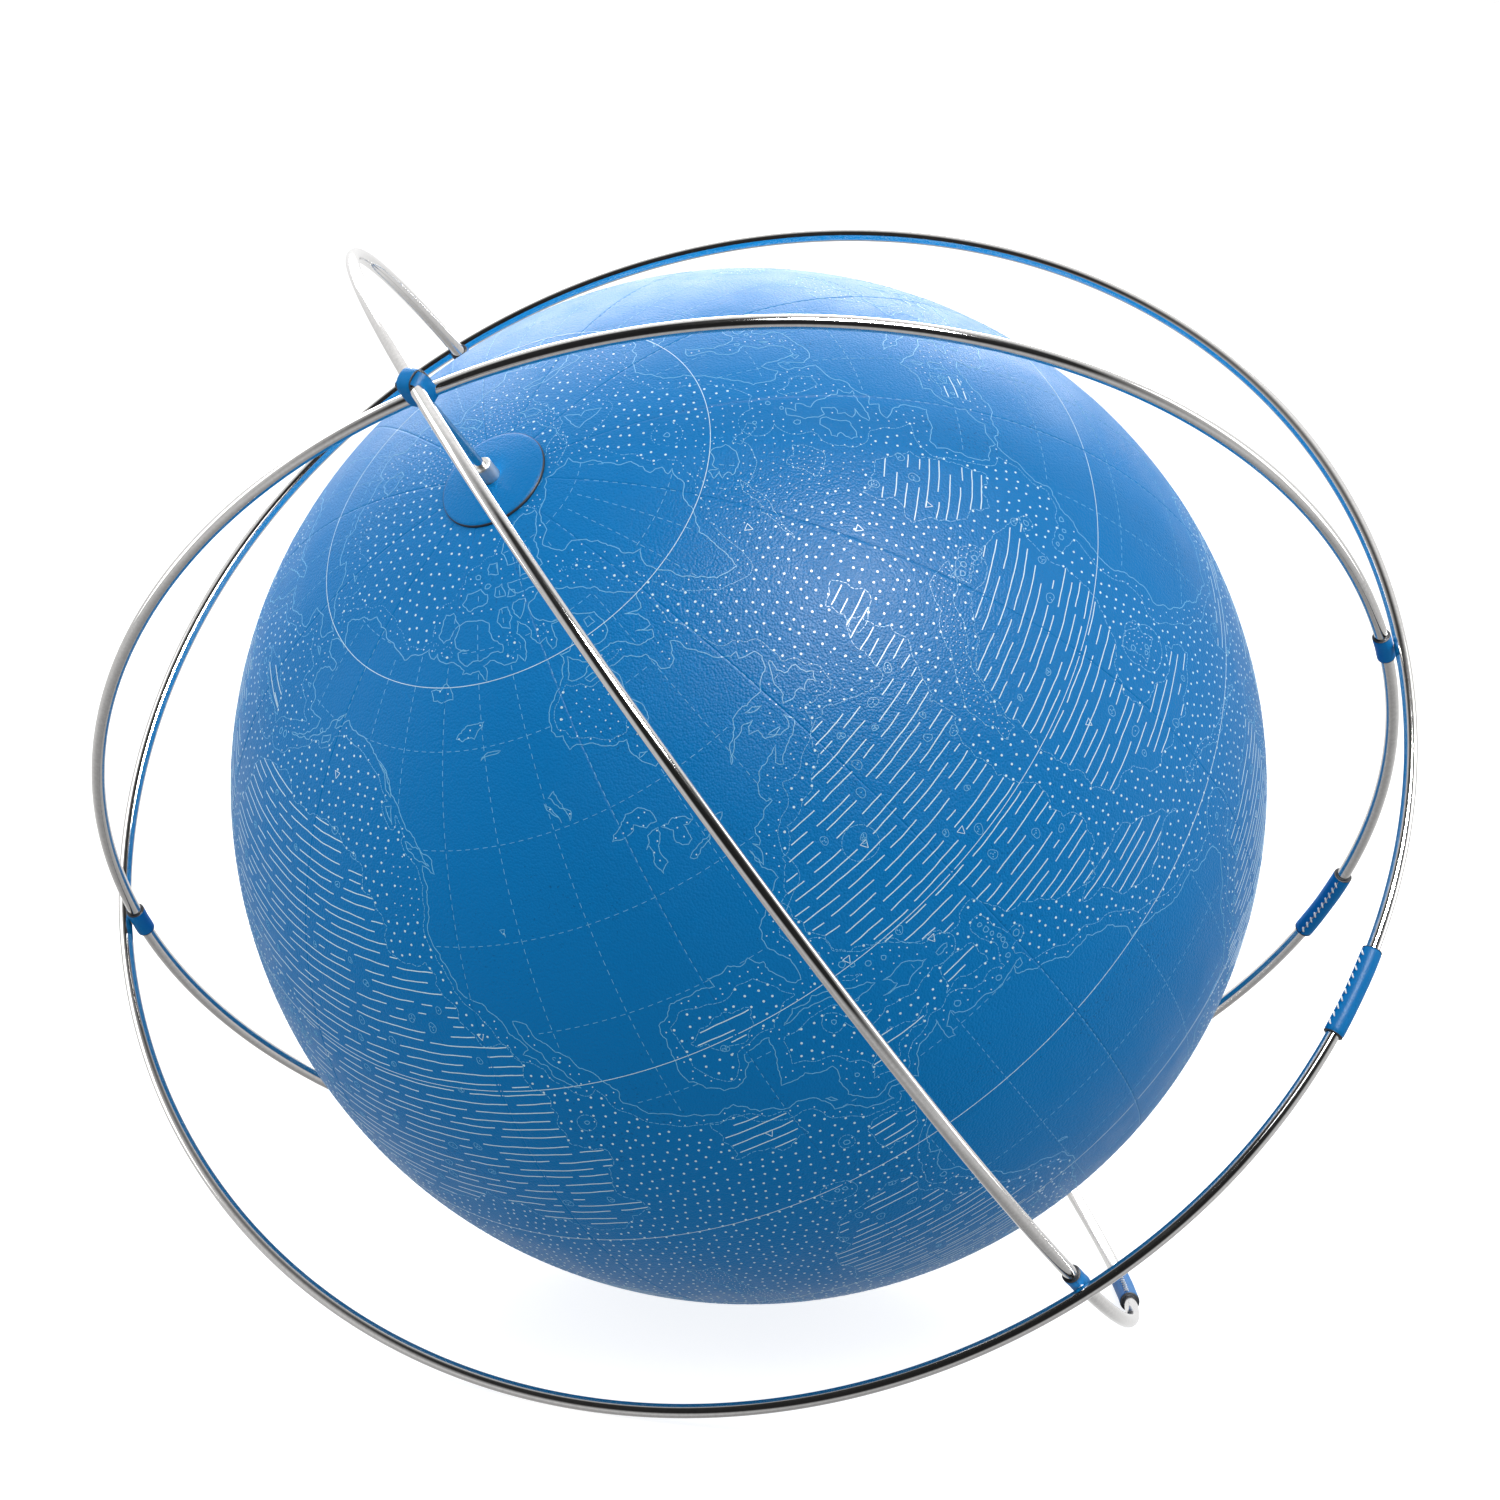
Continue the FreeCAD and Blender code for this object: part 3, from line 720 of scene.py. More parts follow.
LANDS = {
    "americas": """-168.1,65.6 -163.7,66.6 -161.8,66.3 -164.5,67.7 -166.6,68.35 -166.1,68.9 -163.2,69.6
 -161.9,70.3 -156.5,71.35 -152,70.85 -146,70.15 -141,69.65 -136.6,68.9 -134.2,69.6 -129.5,70.1
 -128,70.55 -127.5,69.9 -125.5,69.5 -124.5,70.1 -123.5,69.4 -117.5,69 -114.5,68.2 -115,67.8 -109.8,67.9
 -107.6,66.7 -107.2,67.6 -108.3,68.3 -106,68.7 -102,67.8 -98.5,67.7 -97.5,68.4 -95.9,67.4 -94.3,69.3
 -96.3,70.6 -95.2,71.9 -92.8,71.1 -91.6,70.2 -92.3,69.6 -90.4,68.5 -88,68.8 -87.7,67.3 -86.5,67.4
 -85.5,68.8 -85,69.8 -82.5,69.7 -81.4,69.2 -82,68 -81.3,67.1 -83.8,66.2 -86.5,66.4 -86.3,65.4 -88,64.1
 -90.7,63 -93.2,61.9 -94.3,60.8 -94.7,59.5 -94.2,58.8 -92.8,58.6 -92.5,57 -90.9,57.2 -88.5,56.7 -85,55.3
 -82.3,55.15 -82.2,52.9 -80.5,51.3 -79,51.4 -79.4,52.2 -78.6,52.6 -79.5,54.6 -77.5,55.4 -76.6,56.3
 -76.8,57.6 -78.2,58.6 -77.6,59.7 -77.8,62.4 -75.5,62.3 -73.8,62.4 -71.8,61.5 -70,61.1 -69.5,59.9
 -69.6,58.9 -68.2,58.4 -66.4,58.8 -65.2,59.8 -64.6,60.4 -63.4,59.2 -61.7,57 -60,55.3 -57.8,54.7
 -58.5,54.1 -55.8,53.3 -55.7,52.4 -58.8,51 -60.2,50.2 -66.4,50.2 -67.2,49.4 -69.2,48.6 -71.1,46.9
 -68.3,48.6 -66.2,49.1 -64.3,48.8 -66.2,48 -64.8,47.7 -64.9,46.6 -63,45.8 -61.5,45.7 -60.5,47 -59.9,46
 -61.2,45.2 -63.5,44.6 -65.5,43.5 -66.2,44.2 -64.5,45.4 -67,44.8 -70,43.8 -70.8,42.6 -70.6,41.9 -70,41.8
 -70.1,42.05 -69.95,41.6 -71.2,41.5 -72,41.05 -74,40.6 -74.3,39.6 -74.9,38.95 -75.5,39.5 -75.1,38.6
 -76,37.1 -76.3,39.1 -76.3,37 -75.9,36.5 -75.5,35.2 -76.6,34.7 -77.9,33.9 -79.1,33.2 -80.9,32.1 -81.4,31
 -80.5,28.4 -80.05,26.8 -80.4,25.2 -81.1,25.2 -82.1,26.7 -82.8,27.8 -82.7,28.9 -84,30.1 -85.3,29.7
 -86.5,30.4 -89.4,30.2 -89.1,29.1 -91.5,29.5 -94.7,29.4 -97.2,27.7 -97.2,26 -97.8,22.4 -96.1,19.2
 -94.5,18.15 -91.6,18.6 -90.5,19.9 -90.4,21 -87,21.5 -87.5,19.5 -88.2,17.5 -88.9,15.9 -86,15.95 -83.2,15
 -83.6,12.3 -83.7,11 -82.4,9.4 -81.2,8.8 -79.7,9.5 -77.4,8.6 -76.8,8 -76.4,8.9 -75.5,10.5 -74.2,11.3
 -71.7,12.4 -71.9,11.1 -71.9,9.6 -71.2,9.3 -71.3,10.9 -70,12.1 -69.8,11.5 -68.2,10.6 -66,10.6 -64.7,10.1
 -62,10.7 -62.3,9.9 -60.8,8.6 -58.6,7.4 -57.1,6 -54,5.85 -51.6,4.3 -50,1.6 -50.3,0.2 -48.4,-0.3 -46.5,-1
 -44.3,-2.6 -41.5,-2.9 -39.9,-2.9 -37.2,-4.8 -35.3,-5.3 -34.85,-7.5 -36.4,-10.5 -38.5,-13 -39,-15.5
 -39.2,-17.7 -40.9,-21.6 -42,-22.95 -44.6,-23.1 -48.4,-26 -48.6,-28.3 -50.3,-30.5 -53.5,-34 -55,-34.9
 -58.3,-34.1 -57.2,-35.6 -56.7,-36.5 -57.8,-38.2 -62.2,-39 -62.4,-40.7 -65,-41 -64.3,-42.7 -65.4,-45
 -67.5,-46 -65.9,-47.2 -69.1,-50.6 -68.3,-52.5 -65.1,-54.7 -67.3,-55.8 -71,-54.9 -74.5,-52.4 -75.5,-48
 -74,-45.5 -73.8,-41.8 -73.3,-37.2 -71.6,-33 -71.5,-30 -70.5,-25.5 -70.2,-20 -70.4,-18.3 -75.2,-15.4
 -77.2,-12 -79.8,-7 -81.2,-6 -81.2,-4.4 -79.9,-2.7 -81,-2.2 -80.1,0.4 -78.8,1.6 -77.3,3.9 -77.4,6.8
 -78.3,8.4 -79.6,8.9 -80.4,8.3 -80.2,7.4 -83,8.2 -85.8,10.2 -85.8,11.1 -87.6,13 -91.5,14 -94.5,16.2
 -96.5,15.7 -99.8,16.8 -103.5,18.4 -105.6,20.4 -105.4,21.8 -108.6,25.4 -110.7,27.7 -112.6,29.6
 -113.1,31.2 -114.8,31.7 -114.6,30.2 -112.5,27.8 -111,25.6 -109.5,23.1 -110.2,23.3 -112.2,24.9
 -112.4,26.2 -115,27.8 -114.1,28.3 -115.8,30.2 -117.1,32.5 -118.4,33.8 -120.6,34.5 -121.9,36.6
 -122.5,37.8 -124.35,40.4 -124.1,44 -124,46.3 -124.7,48.4 -122.5,47.6 -122.8,49 -125.8,50.6 -128.3,52.4
 -130.4,54.4 -133.4,56.9 -136.6,58.3 -139.7,59.6 -144,60 -148.2,60.8 -149.8,59.8 -151.9,59.2 -151.3,60.6
 -150,61.2 -153.6,59.4 -154.3,58.1 -158.5,55.95 -164.8,54.6 -160.4,56 -157.6,57.6 -157.2,58.8 -160,58.6
 -162,58.6 -162.2,60 -165.3,60.6 -166,61.8 -164.6,63.1 -161,63.6 -161.2,64.5 -166.3,64.6""",
    "greenland": """-43.9,59.8 -48.2,60.9 -50.4,62.8 -52,64.4 -53.7,66.8 -53.4,68.6 -51,69.4 -54.6,70.5
 -55.5,72.6 -58,75 -62,76.2 -68,76.1 -71,77.3 -73,78.3 -66,79.4 -65,80.6 -61,81.7 -50,82.3 -40,83.2
 -30,83.6 -22,82.6 -12,81.4 -18,80 -19.5,77.6 -21,75.6 -19.5,74.6 -22,73.2 -24.5,72.3 -22,71.2
 -24.5,70.4 -22.3,70.1 -27,68.5 -32,68 -36.5,66 -40,65 -41.2,63 -42.9,61""",
    "baffin": """-61.4,66.6 -64,67.9 -67,69 -68.4,70.4 -72,71.5 -75,72.4 -78,72.8 -81,73.7 -85,73.8
 -89.3,73.2 -89.9,71.9 -88,70.8 -84.8,70 -79,69.8 -76.5,69 -73,68.2 -72.5,66.8 -74,65.4 -77.8,65.3
 -78,64.4 -74.5,64.4 -71,63 -66.3,61.9 -65.4,62.6 -68.4,63.7 -65,63.1 -65,64.3 -67.6,65.9 -63.6,65.1""",
    "victoria": """-117.5,73 -115,73.4 -108,73.2 -105.5,72.7 -104.8,71 -101.5,70 -101.8,69.2 -108,69.1
 -113.5,68.6 -116.5,69.4 -117,70.1 -113,70.3 -117.9,70.7 -118.8,71.6""",
    "banks": "-125.5,72 -123,71.2 -120.8,71.6 -117.6,73.1 -121,74.4 -124.4,74.2 -124.8,73",
    "ellesmere": """-76,78.5 -78,76.4 -85,76.4 -89.3,76.5 -88,77.8 -84.5,78.1 -87,79.1 -85.5,80.4
 -91,81.6 -80,82.9 -70,83.1 -61.5,82.4 -66,81.4 -70,80.4 -75.5,79.4""",
    "axel_heiberg": "-88.6,78.2 -93.8,78.4 -96,80.1 -92.5,81.3 -87.4,80.2 -85.6,79.2",
    "devon": "-79.5,74.9 -80.5,75.7 -88,76 -95.6,76.4 -92.2,74.8 -83,74.5",
    "somerset": "-90.2,73.9 -95,74 -95.6,72.8 -94,72 -92,72.7",
    "prince_of_wales": "-96.6,72.6 -98,71.4 -102.4,72.6 -101,73.8 -97.5,73.8",
    "melville": "-106,75 -113.5,74.4 -117.5,75.3 -115.5,76.4 -109,76.7 -105.6,75.9",
    "bathurst": "-97.6,75.1 -102.4,75.5 -101.5,76.4 -98.3,76.6",
    "ringnes": "-99.5,77.8 -105,78.1 -104,79.3 -99.5,79.2",
    "cornwallis": "-93.6,74.7 -96.8,74.9 -95.6,75.6 -93.4,75.4",
    "southampton": "-85.1,65.8 -80.4,63.8 -83.5,63.1 -87.2,63.6 -86.1,64.6",
    "coats": "-79.6,62.4 -82.9,62.2 -83.6,62.8 -81.5,62.9",
    "prince_charles": "-74.5,67.3 -76.8,67.3 -76.6,68.2 -74.8,68.2",
    "belcher": "-79.2,55.8 -80.2,56.2 -79.2,56.6",
    "akimiski": "-80.3,53 -82,52.9 -81.5,53.3",
    "newfoundland": """-55.5,51.6 -56.8,50.7 -58,49.2 -59.3,47.7 -56,47.5 -55.8,46.9 -54.2,47.4
 -53.6,46.6 -52.7,47.5 -53.6,48.6 -53.5,49.3 -55.6,49.6 -56,50.4""",
    "anticosti": "-64.4,49.85 -61.8,49.15 -63.6,49.4",
    "prince_edward": "-64.2,46.7 -62.1,46.4 -63.6,46.2",
    "vancouver": "-123.4,48.4 -125.3,48.8 -128.2,50.7 -125.2,50.1",
    "haida": "-131.2,52.2 -133.1,53.9 -131.7,54.1",
    "alexander": "-132,54.9 -133.4,55.6 -134.8,57.4 -136.3,58.1 -135.4,57.9 -132.8,56.2",
    "kodiak": "-154.2,56.8 -154.5,57.6 -152.3,58.3 -152.4,57.4",
    "nunivak": "-165.8,60 -167.3,60.1 -166,60.4",
    "st_lawrence": "-168.9,63.2 -171.7,63.4 -170.3,63.7",
    "cuba": "-84.9,21.9 -83.1,23 -80.5,23.1 -77.3,21.9 -74.2,20.2 -77.7,19.9 -77.1,20.6 -78.7,21.6 -82,22.4",
    "hispaniola": "-68.4,18.6 -69.9,19.7 -73.4,19.9 -72.7,19.3 -72.4,18.6 -74.4,18.5 -71.6,17.7 -70.2,18.3",
    "jamaica": "-78.3,18.3 -77.2,18.45 -76.2,18 -77.2,17.75",
    "puerto_rico": "-67.2,18.4 -65.65,18.35 -65.9,18 -67.2,18",
    "trinidad": "-61.9,10.7 -60.9,10.8 -61.1,10.1 -61.8,10.1",
    "andros": "-78.1,25.1 -77.7,24.5 -77.8,23.9 -78.4,24.6",
    "abaco": "-77.8,26.8 -77,26.5 -77.1,26.1",
    "iceland": """-22.7,63.85 -20.2,63.5 -18.7,63.4 -15,64.3 -13.6,65 -14.8,66.1 -16.2,66.5 -18.3,66
 -20.3,66.1 -21.4,65.4 -22.4,66.4 -24.4,65.6 -22,65.3 -24,64.8 -22,64.4""",
    "great_britain": """-5.7,50.1 -3.5,50.3 1.4,51.15 0.7,51.5 1.75,52.6 0.4,52.9 -0.1,54 -1.6,55.5
 -3,56 -2,57.5 -4,57.6 -3.1,58.6 -5,58.6 -6.1,56.8 -5.6,55.4 -4.8,54.7 -3.1,54.9 -3,53.5 -4.5,53.3
 -4.2,52.5 -5.2,51.8 -3,51.4 -4.3,51.1""",
    "ireland": """-6.3,52.2 -9.7,51.5 -10.3,52.1 -9,53.2 -10.1,53.6 -9.9,54.2 -8.5,54.4 -7.4,55.3
 -6,55.2 -5.5,54.5 -6.1,53.5""",
    "svalbard": "11,79.6 16,80 20,80 27,80.1 22,79 19,78.8 21,78.2 16.7,76.6 13.8,78.1",
    "franz_josef": "46,80.5 54,80.2 63,80.8 56,81.6 48,81.1",
    "novaya_zemlya": "51.6,71.5 57.5,70.6 55.8,72.5 60,75 68.8,76.6 66,77 58.5,76 54.5,73.5",
    "severnaya_zemlya": "95,79 100,78 105,78.5 99,80 96,81 91,80.2",
    "new_siberia": "137,75.3 143,73.3 150,75 145,75.8 139,76.1",
    "wrangel": "178.5,71 182.4,71 181,71.5",
    "eurasia": """-5.6,36 -6.4,36.8 -8.9,37 -9.4,38.7 -8.8,41.8 -9.2,43 -8,43.7 -3.7,43.5 -1.6,43.4
 -1.2,45.9 -2.5,47.3 -4.7,48.1 -3.6,48.7 -1.6,48.65 -1.9,49.7 0.1,49.5 1.6,50.9 3.5,51.4 4.7,52.9
 6.8,53.5 8.7,53.9 8.1,55.5 8.2,57.1 10.6,57.7 10.4,56.3 9.7,55 11,54.1 14.3,53.95 18.6,54.7 21.1,55.6
 21.2,57 22.6,57.7 24.2,57.1 24,58.4 23.6,59.2 30.2,59.9 25,60.2 22.9,59.9 21.4,61 21.3,62.6 25.3,65
 22,65.5 21.2,64.2 17.4,62 17.3,60.7 18.9,59.8 16.7,58.5 16.4,56.7 14.3,55.5 12.9,55.5 11.3,58.9
 10.6,59.5 8.2,58.1 5.7,58.8 5,61.2 8.5,63.4 12.9,66.3 16,68.7 19,69.8 25.8,71.1 31,70.3 41,67.3
 40.5,66.4 35,66.5 32.5,67.1 34.8,64.5 38,64 40.3,64.6 40.2,65.8 44.2,66.1 43.6,68.5 46,67.8 47,66.9
 53.5,68.4 60.5,68.9 64.5,69.2 68.5,68.5 67,71 69.3,72.9 72.7,72.8 71.8,71.5 73.4,69.5 71.8,66.6
 74.6,68.5 74.3,72.6 80.5,72.2 80.6,73.6 87,74.9 93,76 98,76.3 104.3,77.7 112,76.2 107,73.3 113,73.6
 118.5,73.1 127,73.4 129.2,71.2 137.5,71.3 140,72.5 150,71.5 159,70.9 161,69.6 170.5,69 171,70 176,69.7
 184.5,67.4 190.2,66.1 187.5,64.4 182,65.5 177.5,64.7 179.3,62.4 174,61.7 170.3,60 163.5,59.7 163,58
 162.2,56.2 160,53.2 156.7,51 155.6,54 155.7,57 163,61.6 160,61.8 155,59.4 143,59.3 135.4,54.8
 141.2,53.1 140.4,48.5 136,44.5 132,43.1 129.7,41 127.5,39.5 129.4,37.1 129.1,35.2 126.4,34.5 126.7,37.6
 125,38 124.3,39.9 121.3,38.8 121.8,40.8 117.8,38.9 119.1,37.3 122.5,37.2 119.3,35 121.8,31.7 121.9,29.3
 118.1,24.5 114.2,22.4 110.4,20.6 108,21.5 105.8,19 109.2,12.5 107,10.5 105,8.7 105,10 102.4,12.2
 100.5,13.4 99.3,9.4 103.4,4.5 104.2,1.4 101.3,2.9 98.4,8 98.6,13 97.6,16.6 95.4,15.8 94.3,18.2
 91.8,22.4 88.2,21.7 85.5,19.7 82.3,16.8 80.2,15.5 79.9,10.4 77.5,8.1 74.8,13 72.8,19 72.7,21.4
 69.2,22.2 66.6,25.2 61.6,25.1 57.2,25.8 56.4,27.1 51.5,27.9 50.2,30 48,30 48.4,28.4 50.1,26.6 51.3,26
 51.7,24.3 54,24.2 56.3,26.2 56.7,24.4 59.8,22.4 57.8,19.6 52.2,15.7 45,12.8 43.4,12.7 42.7,16 39.2,21.4
 35.3,28 34.95,29.5 34.3,27.8 32.6,29.9 32.3,31.2 34.4,31.4 36,35 36,36.6 32.5,36.1 30.6,36.8 27.6,36.8
 26.3,39 26.4,40.2 28.9,40.9 26.5,40.7 23.9,40.6 22.7,40.4 24,38 22.8,36.6 21.2,37.6 19.4,41.4 15.3,44
 13.6,45 12.3,45.3 13.7,43.4 16.1,41.8 18.5,40.1 17,40.4 16.6,38.8 15.7,38 15.8,40 12.3,41.6 10.3,43.3
 8.8,44.4 6.2,43.1 3.2,43.1 3.1,42.1 -0.3,39.5 0.1,38.7 -2.2,36.8 -4.4,36.7""",
    "africa": """-5.9,35.8 -2.8,35.3 5,36.8 10,37.3 11,36.9 10.2,34.4 11.5,33.1 15.2,32.3 19.5,30.4
 20.2,32.5 23,32.6 29,30.9 32.3,31.2 32.6,29.9 35.5,24 37.3,21 39.5,15.6 43.2,12.4 43,11.4 51.2,11.9
 47.8,4.4 41.6,-1.8 39,-5 39.4,-8.5 40.6,-14.8 34.9,-19.9 35.5,-23.8 32.7,-26 31.5,-29.5 27.5,-33.3
 25.6,-34 20,-34.8 18.3,-34 16.4,-28.6 14.5,-22.7 11.8,-17 13.8,-12.5 12.2,-6 9.3,-2.2 9.6,1 9.5,4
 7.5,4.4 6,4.3 4.4,6.3 1.2,6.1 -2.1,4.8 -7.5,4.4 -11.4,6.8 -13.3,9 -16.7,12.4 -17.5,14.7 -16.4,16.5
 -16.3,19.2 -17,20.9 -16,23.8 -14.6,26.2 -12.9,27.9 -9.9,29.6 -9.7,31.6 -7.6,33.6""",
    "honshu": """130.9,34 132.6,35.5 135.8,35.6 137.2,37.5 138.5,37.3 140,39.8 140.6,41.2 142,39.6
 140.9,38 140.8,35.7 138.2,34.6 135.8,33.5 135,34.6""",
    "hokkaido": "140,41.5 141.2,42.5 143.2,42 145.5,43.3 144.2,44 141.9,45.4 141.3,43.3",
    "kyushu": "130.9,33.9 131.8,33 131.2,31.3 130.3,31.2 129.7,33.2",
    "shikoku": "132.4,33.4 134.3,34.3 134.6,33.8 133,32.8",
    "sakhalin": "142.1,46 143,47.5 144,49.2 143.2,52 142.7,54.3 142.1,52 142.2,49",
    "taiwan": "120.1,23 121.5,25.3 121.9,24.8 120.9,21.9",
    "hainan": "108.6,19.2 110.6,20.1 110.8,19.2 109.5,18.2",
    "luzon": "120.6,18.5 122.2,18.4 121.5,16 124.1,12.9 121,13.8 120,15.9",
    "samar": "124.3,12.5 125.6,11.2 125,10.3 124.4,11.2",
    "panay": "122,11.7 123.3,10.8 123,9.1 122.1,10.5",
    "mindanao": "122,7 123.5,8.6 125.5,9.7 126.5,7.3 125.4,5.7 124,6.8",
    "palawan": "117.2,8.4 119.5,11.3 119.2,10.2",
    "borneo": """109,1.5 111.3,2.4 115,5 116.8,6.9 119.1,5.2 117.7,3.6 118.8,1 117.5,0.5 116.2,-3.8
 114.5,-4 110.2,-2.9""",
    "sumatra": "95.3,5.6 97.5,5.2 103.6,-0.2 106,-3.1 105.8,-5.8 104.5,-5.8 100.4,-1 98.7,1.8",
    "java": "105.2,-6.8 106.3,-6 111,-6.5 112.7,-7.1 114.5,-8.5 110,-8.1",
    "flores": "116.8,-8.5 122.9,-8.3 122.7,-8.7 117,-9",
    "timor": "123.6,-10.3 127.1,-8.4 126.2,-9.1",
    "sulawesi": """119.5,-5.5 120.4,-3 121.4,-4.8 122.7,-4.3 121.8,-2.2 123.3,-0.9 121,-1.1 120.4,0.4
 125,1.5 120.3,0.9 119.6,-0.8 119,-3""",
    "halmahera": "127.6,1.2 128,2.1 128.5,0.6 128.1,-0.7",
    "seram": "128,-3.1 130.8,-3.2 129.5,-3.6",
    "new_guinea": """131,-0.8 134,-0.9 135,-3.3 138,-1.6 144.5,-3.9 147.8,-6.2 147.2,-7 150.8,-10.4
 146,-8.6 142.6,-9.3 138,-8.3 138.4,-6.9 133,-4.1 133.8,-2.5""",
    "new_britain": "148.4,-5.7 152.2,-4.2 151.8,-5.5 149.6,-6.3",
    "new_caledonia": "164,-20.2 167,-22.3 166.3,-22.3",
    "fiji": "177.3,-17.9 178.6,-17.8 178,-18.2",
    "australia": """114.1,-21.8 119,-20 121.7,-18.5 123.8,-16.3 126,-14 129.4,-14.9 130.6,-12.5
 136.8,-12.2 135.7,-14.8 139.5,-17.5 141,-17.2 142.5,-10.7 143.8,-14.3 145.4,-15 146.3,-18.9 149.3,-21
 153.1,-25 153.5,-28.5 150.4,-35.5 149.9,-37.5 146.4,-39 144,-38.3 140.5,-38 138.2,-35.6 137.8,-32.7
 136,-34.8 131.2,-31.5 126,-32.3 123.7,-33.9 118,-35 115.1,-34.3 115.7,-32 113.5,-26.3""",
    "tasmania": "144.7,-40.7 148.3,-40.9 147.8,-43.3 146,-43.5",
    "new_zealand_north": "172.7,-34.5 175.5,-36.7 178.5,-37.7 175.4,-41.6 173.8,-39.3 174.7,-37.4",
    "new_zealand_south": "172.7,-40.6 174.3,-41.7 170.7,-45.9 168.4,-46.6 166.5,-45.9 171.2,-42.4",
    "madagascar": "49.3,-12 50.4,-15.6 47.1,-25 44.5,-25.3 43.6,-23.4 44.4,-19.9 44.1,-17 46.3,-15.7",
    "sri_lanka": "79.8,8 80.2,9.7 81.8,7.3 80.6,6",
    "sicily": "12.5,37.9 15.5,38.2 15.1,36.7",
    "sardinia": "8.4,39 8.3,41 9.6,41 9.6,39.2",
    "corsica": "8.7,42.4 9.4,43 9.3,41.5",
    "crete": "23.6,35.5 26.2,35.2 24.7,35",
    "cyprus": "32.4,34.9 34.4,35.6 33.2,34.6",
    "falkland": "-61,-51.8 -58,-51.5 -60,-52.3",
    "hawaii": "-156,20.2 -154.9,19.5 -155.7,18.95",
    "zealand": "11.2,55.7 12.5,56 12.2,55",
    "gotland": "18.2,57 19.1,57.9 18.2,57.6",
    "socotra": "53.4,12.6 54.4,12.5 53.8,12.3",
}

ANTARCTIC_COAST = """-180,-78.5 -165,-78.4 -158,-77 -146,-75.6 -135,-74.5 -114,-74.2 -102,-73 -98,-72
 -85,-73.3 -75,-73.5 -68,-70 -67.5,-67.5 -62,-64.8 -57.3,-63.3 -61,-66.5 -61.5,-72 -64,-75.5 -77,-76.5
 -80,-79 -65,-80.5 -50,-79 -37,-78.3 -27,-76 -15,-73 -8,-71 10,-70.2 30,-69.6 45,-67.8 55,-66 70,-68.5
 78,-69 88,-66.8 100,-65.6 115,-66.6 130,-66.2 143,-66.9 155,-69 165,-70.7 171,-71.9 169,-74 164.5,-76.5
 167,-78.3 180,-78.5"""

LAKES = {
    "superior": """-92,46.8 -90.5,47.6 -88.4,48.7 -86.2,48.7 -84.8,47.8 -84.7,46.6 -86.5,46.5 -88,47.4
 -88.4,46.9 -90.5,46.6""",
    "michigan": """-87.5,41.7 -87.9,43.2 -87.4,44.8 -88,44.6 -86.9,45.8 -85,46 -85.6,44.9 -86.5,43.8
 -86.2,42.5""",
    "huron": "-84.6,45.9 -82.5,46.1 -80.1,44.9 -81,44.7 -81.7,44.9 -81.7,43.3 -82.5,43 -83.8,43.8 -83.3,45",
    "erie": "-83.3,41.8 -82.5,41.4 -80,42.2 -78.9,42.9 -80.5,42.65",
    "ontario": "-79.7,43.3 -77,43.3 -76.2,43.8 -78.5,43.95",
    "winnipeg": "-96.9,50.4 -97.1,51.5 -98.5,52.5 -99.3,53.3 -98,53.8 -97.6,52.6 -96.3,51.3",
    "manitoba": "-98.4,50.5 -99.4,51.6 -100.3,52.9 -99.6,52.4 -98.6,51.2",
    "great_slave": "-116.5,61.2 -115,60.9 -112,61 -109.3,62.6 -111.5,62.5 -114,62.4",
    "great_bear": "-117.6,65.3 -121,65 -123.5,65.2 -124.5,66.2 -121.5,66.3 -120,67 -118.5,66.4",
    "athabasca": "-111,58.7 -108.5,59.1 -106.3,59.3 -109.2,59.4",
    "great_salt": "-112.9,41.5 -112.2,40.7 -112.1,41.5",
    "nicaragua": "-85.9,12 -84.9,11.1 -85.3,11.8",
    "titicaca": "-70,-15.4 -68.9,-16.4 -69.4,-15.6",
    "caspian": """47,45.5 49,46.4 51,46.9 53,46.6 53,45.3 51.2,44.6 50.3,44.4 52.5,42.3 52.9,41
 53.8,39.5 53.8,37.2 51,36.7 49,37.6 49.4,40.3 47.6,43""",
    "black": """28.2,41.4 28.1,43.3 30.7,46.3 33,46 33.6,44.5 35.3,45.1 37.5,46.9 39,47 37.4,45.2
 41.5,42 40,41 36,41.5 33.5,42 31.4,41.2""",
    "victoria": "31.8,-1 33,0.3 34.2,-0.3 33.6,-2.2 32,-2.5",
    "baikal": "103.8,51.6 108,53.2 109.8,55.6 108.3,54 105.4,52",
    "aral": "58.5,45 60,46.5 61.3,45.4 59.5,43.9",
    "ladoga": "31,60 32.8,60.6 31.9,61.5 30.3,61.2",
    "onega": "35,61 36.4,61.3 35.5,62.6 34.4,61.9",
    "tanganyika": "29.2,-3.5 29.2,-6 30.7,-8.6 31,-8.4 29.7,-5.7",
    "malawi": "34,-9.6 34.3,-12 35.1,-14.3 34.8,-11.5",
    "balkhash": "73.8,45.6 75.6,46.7 79,46.6 75,45.9",
}

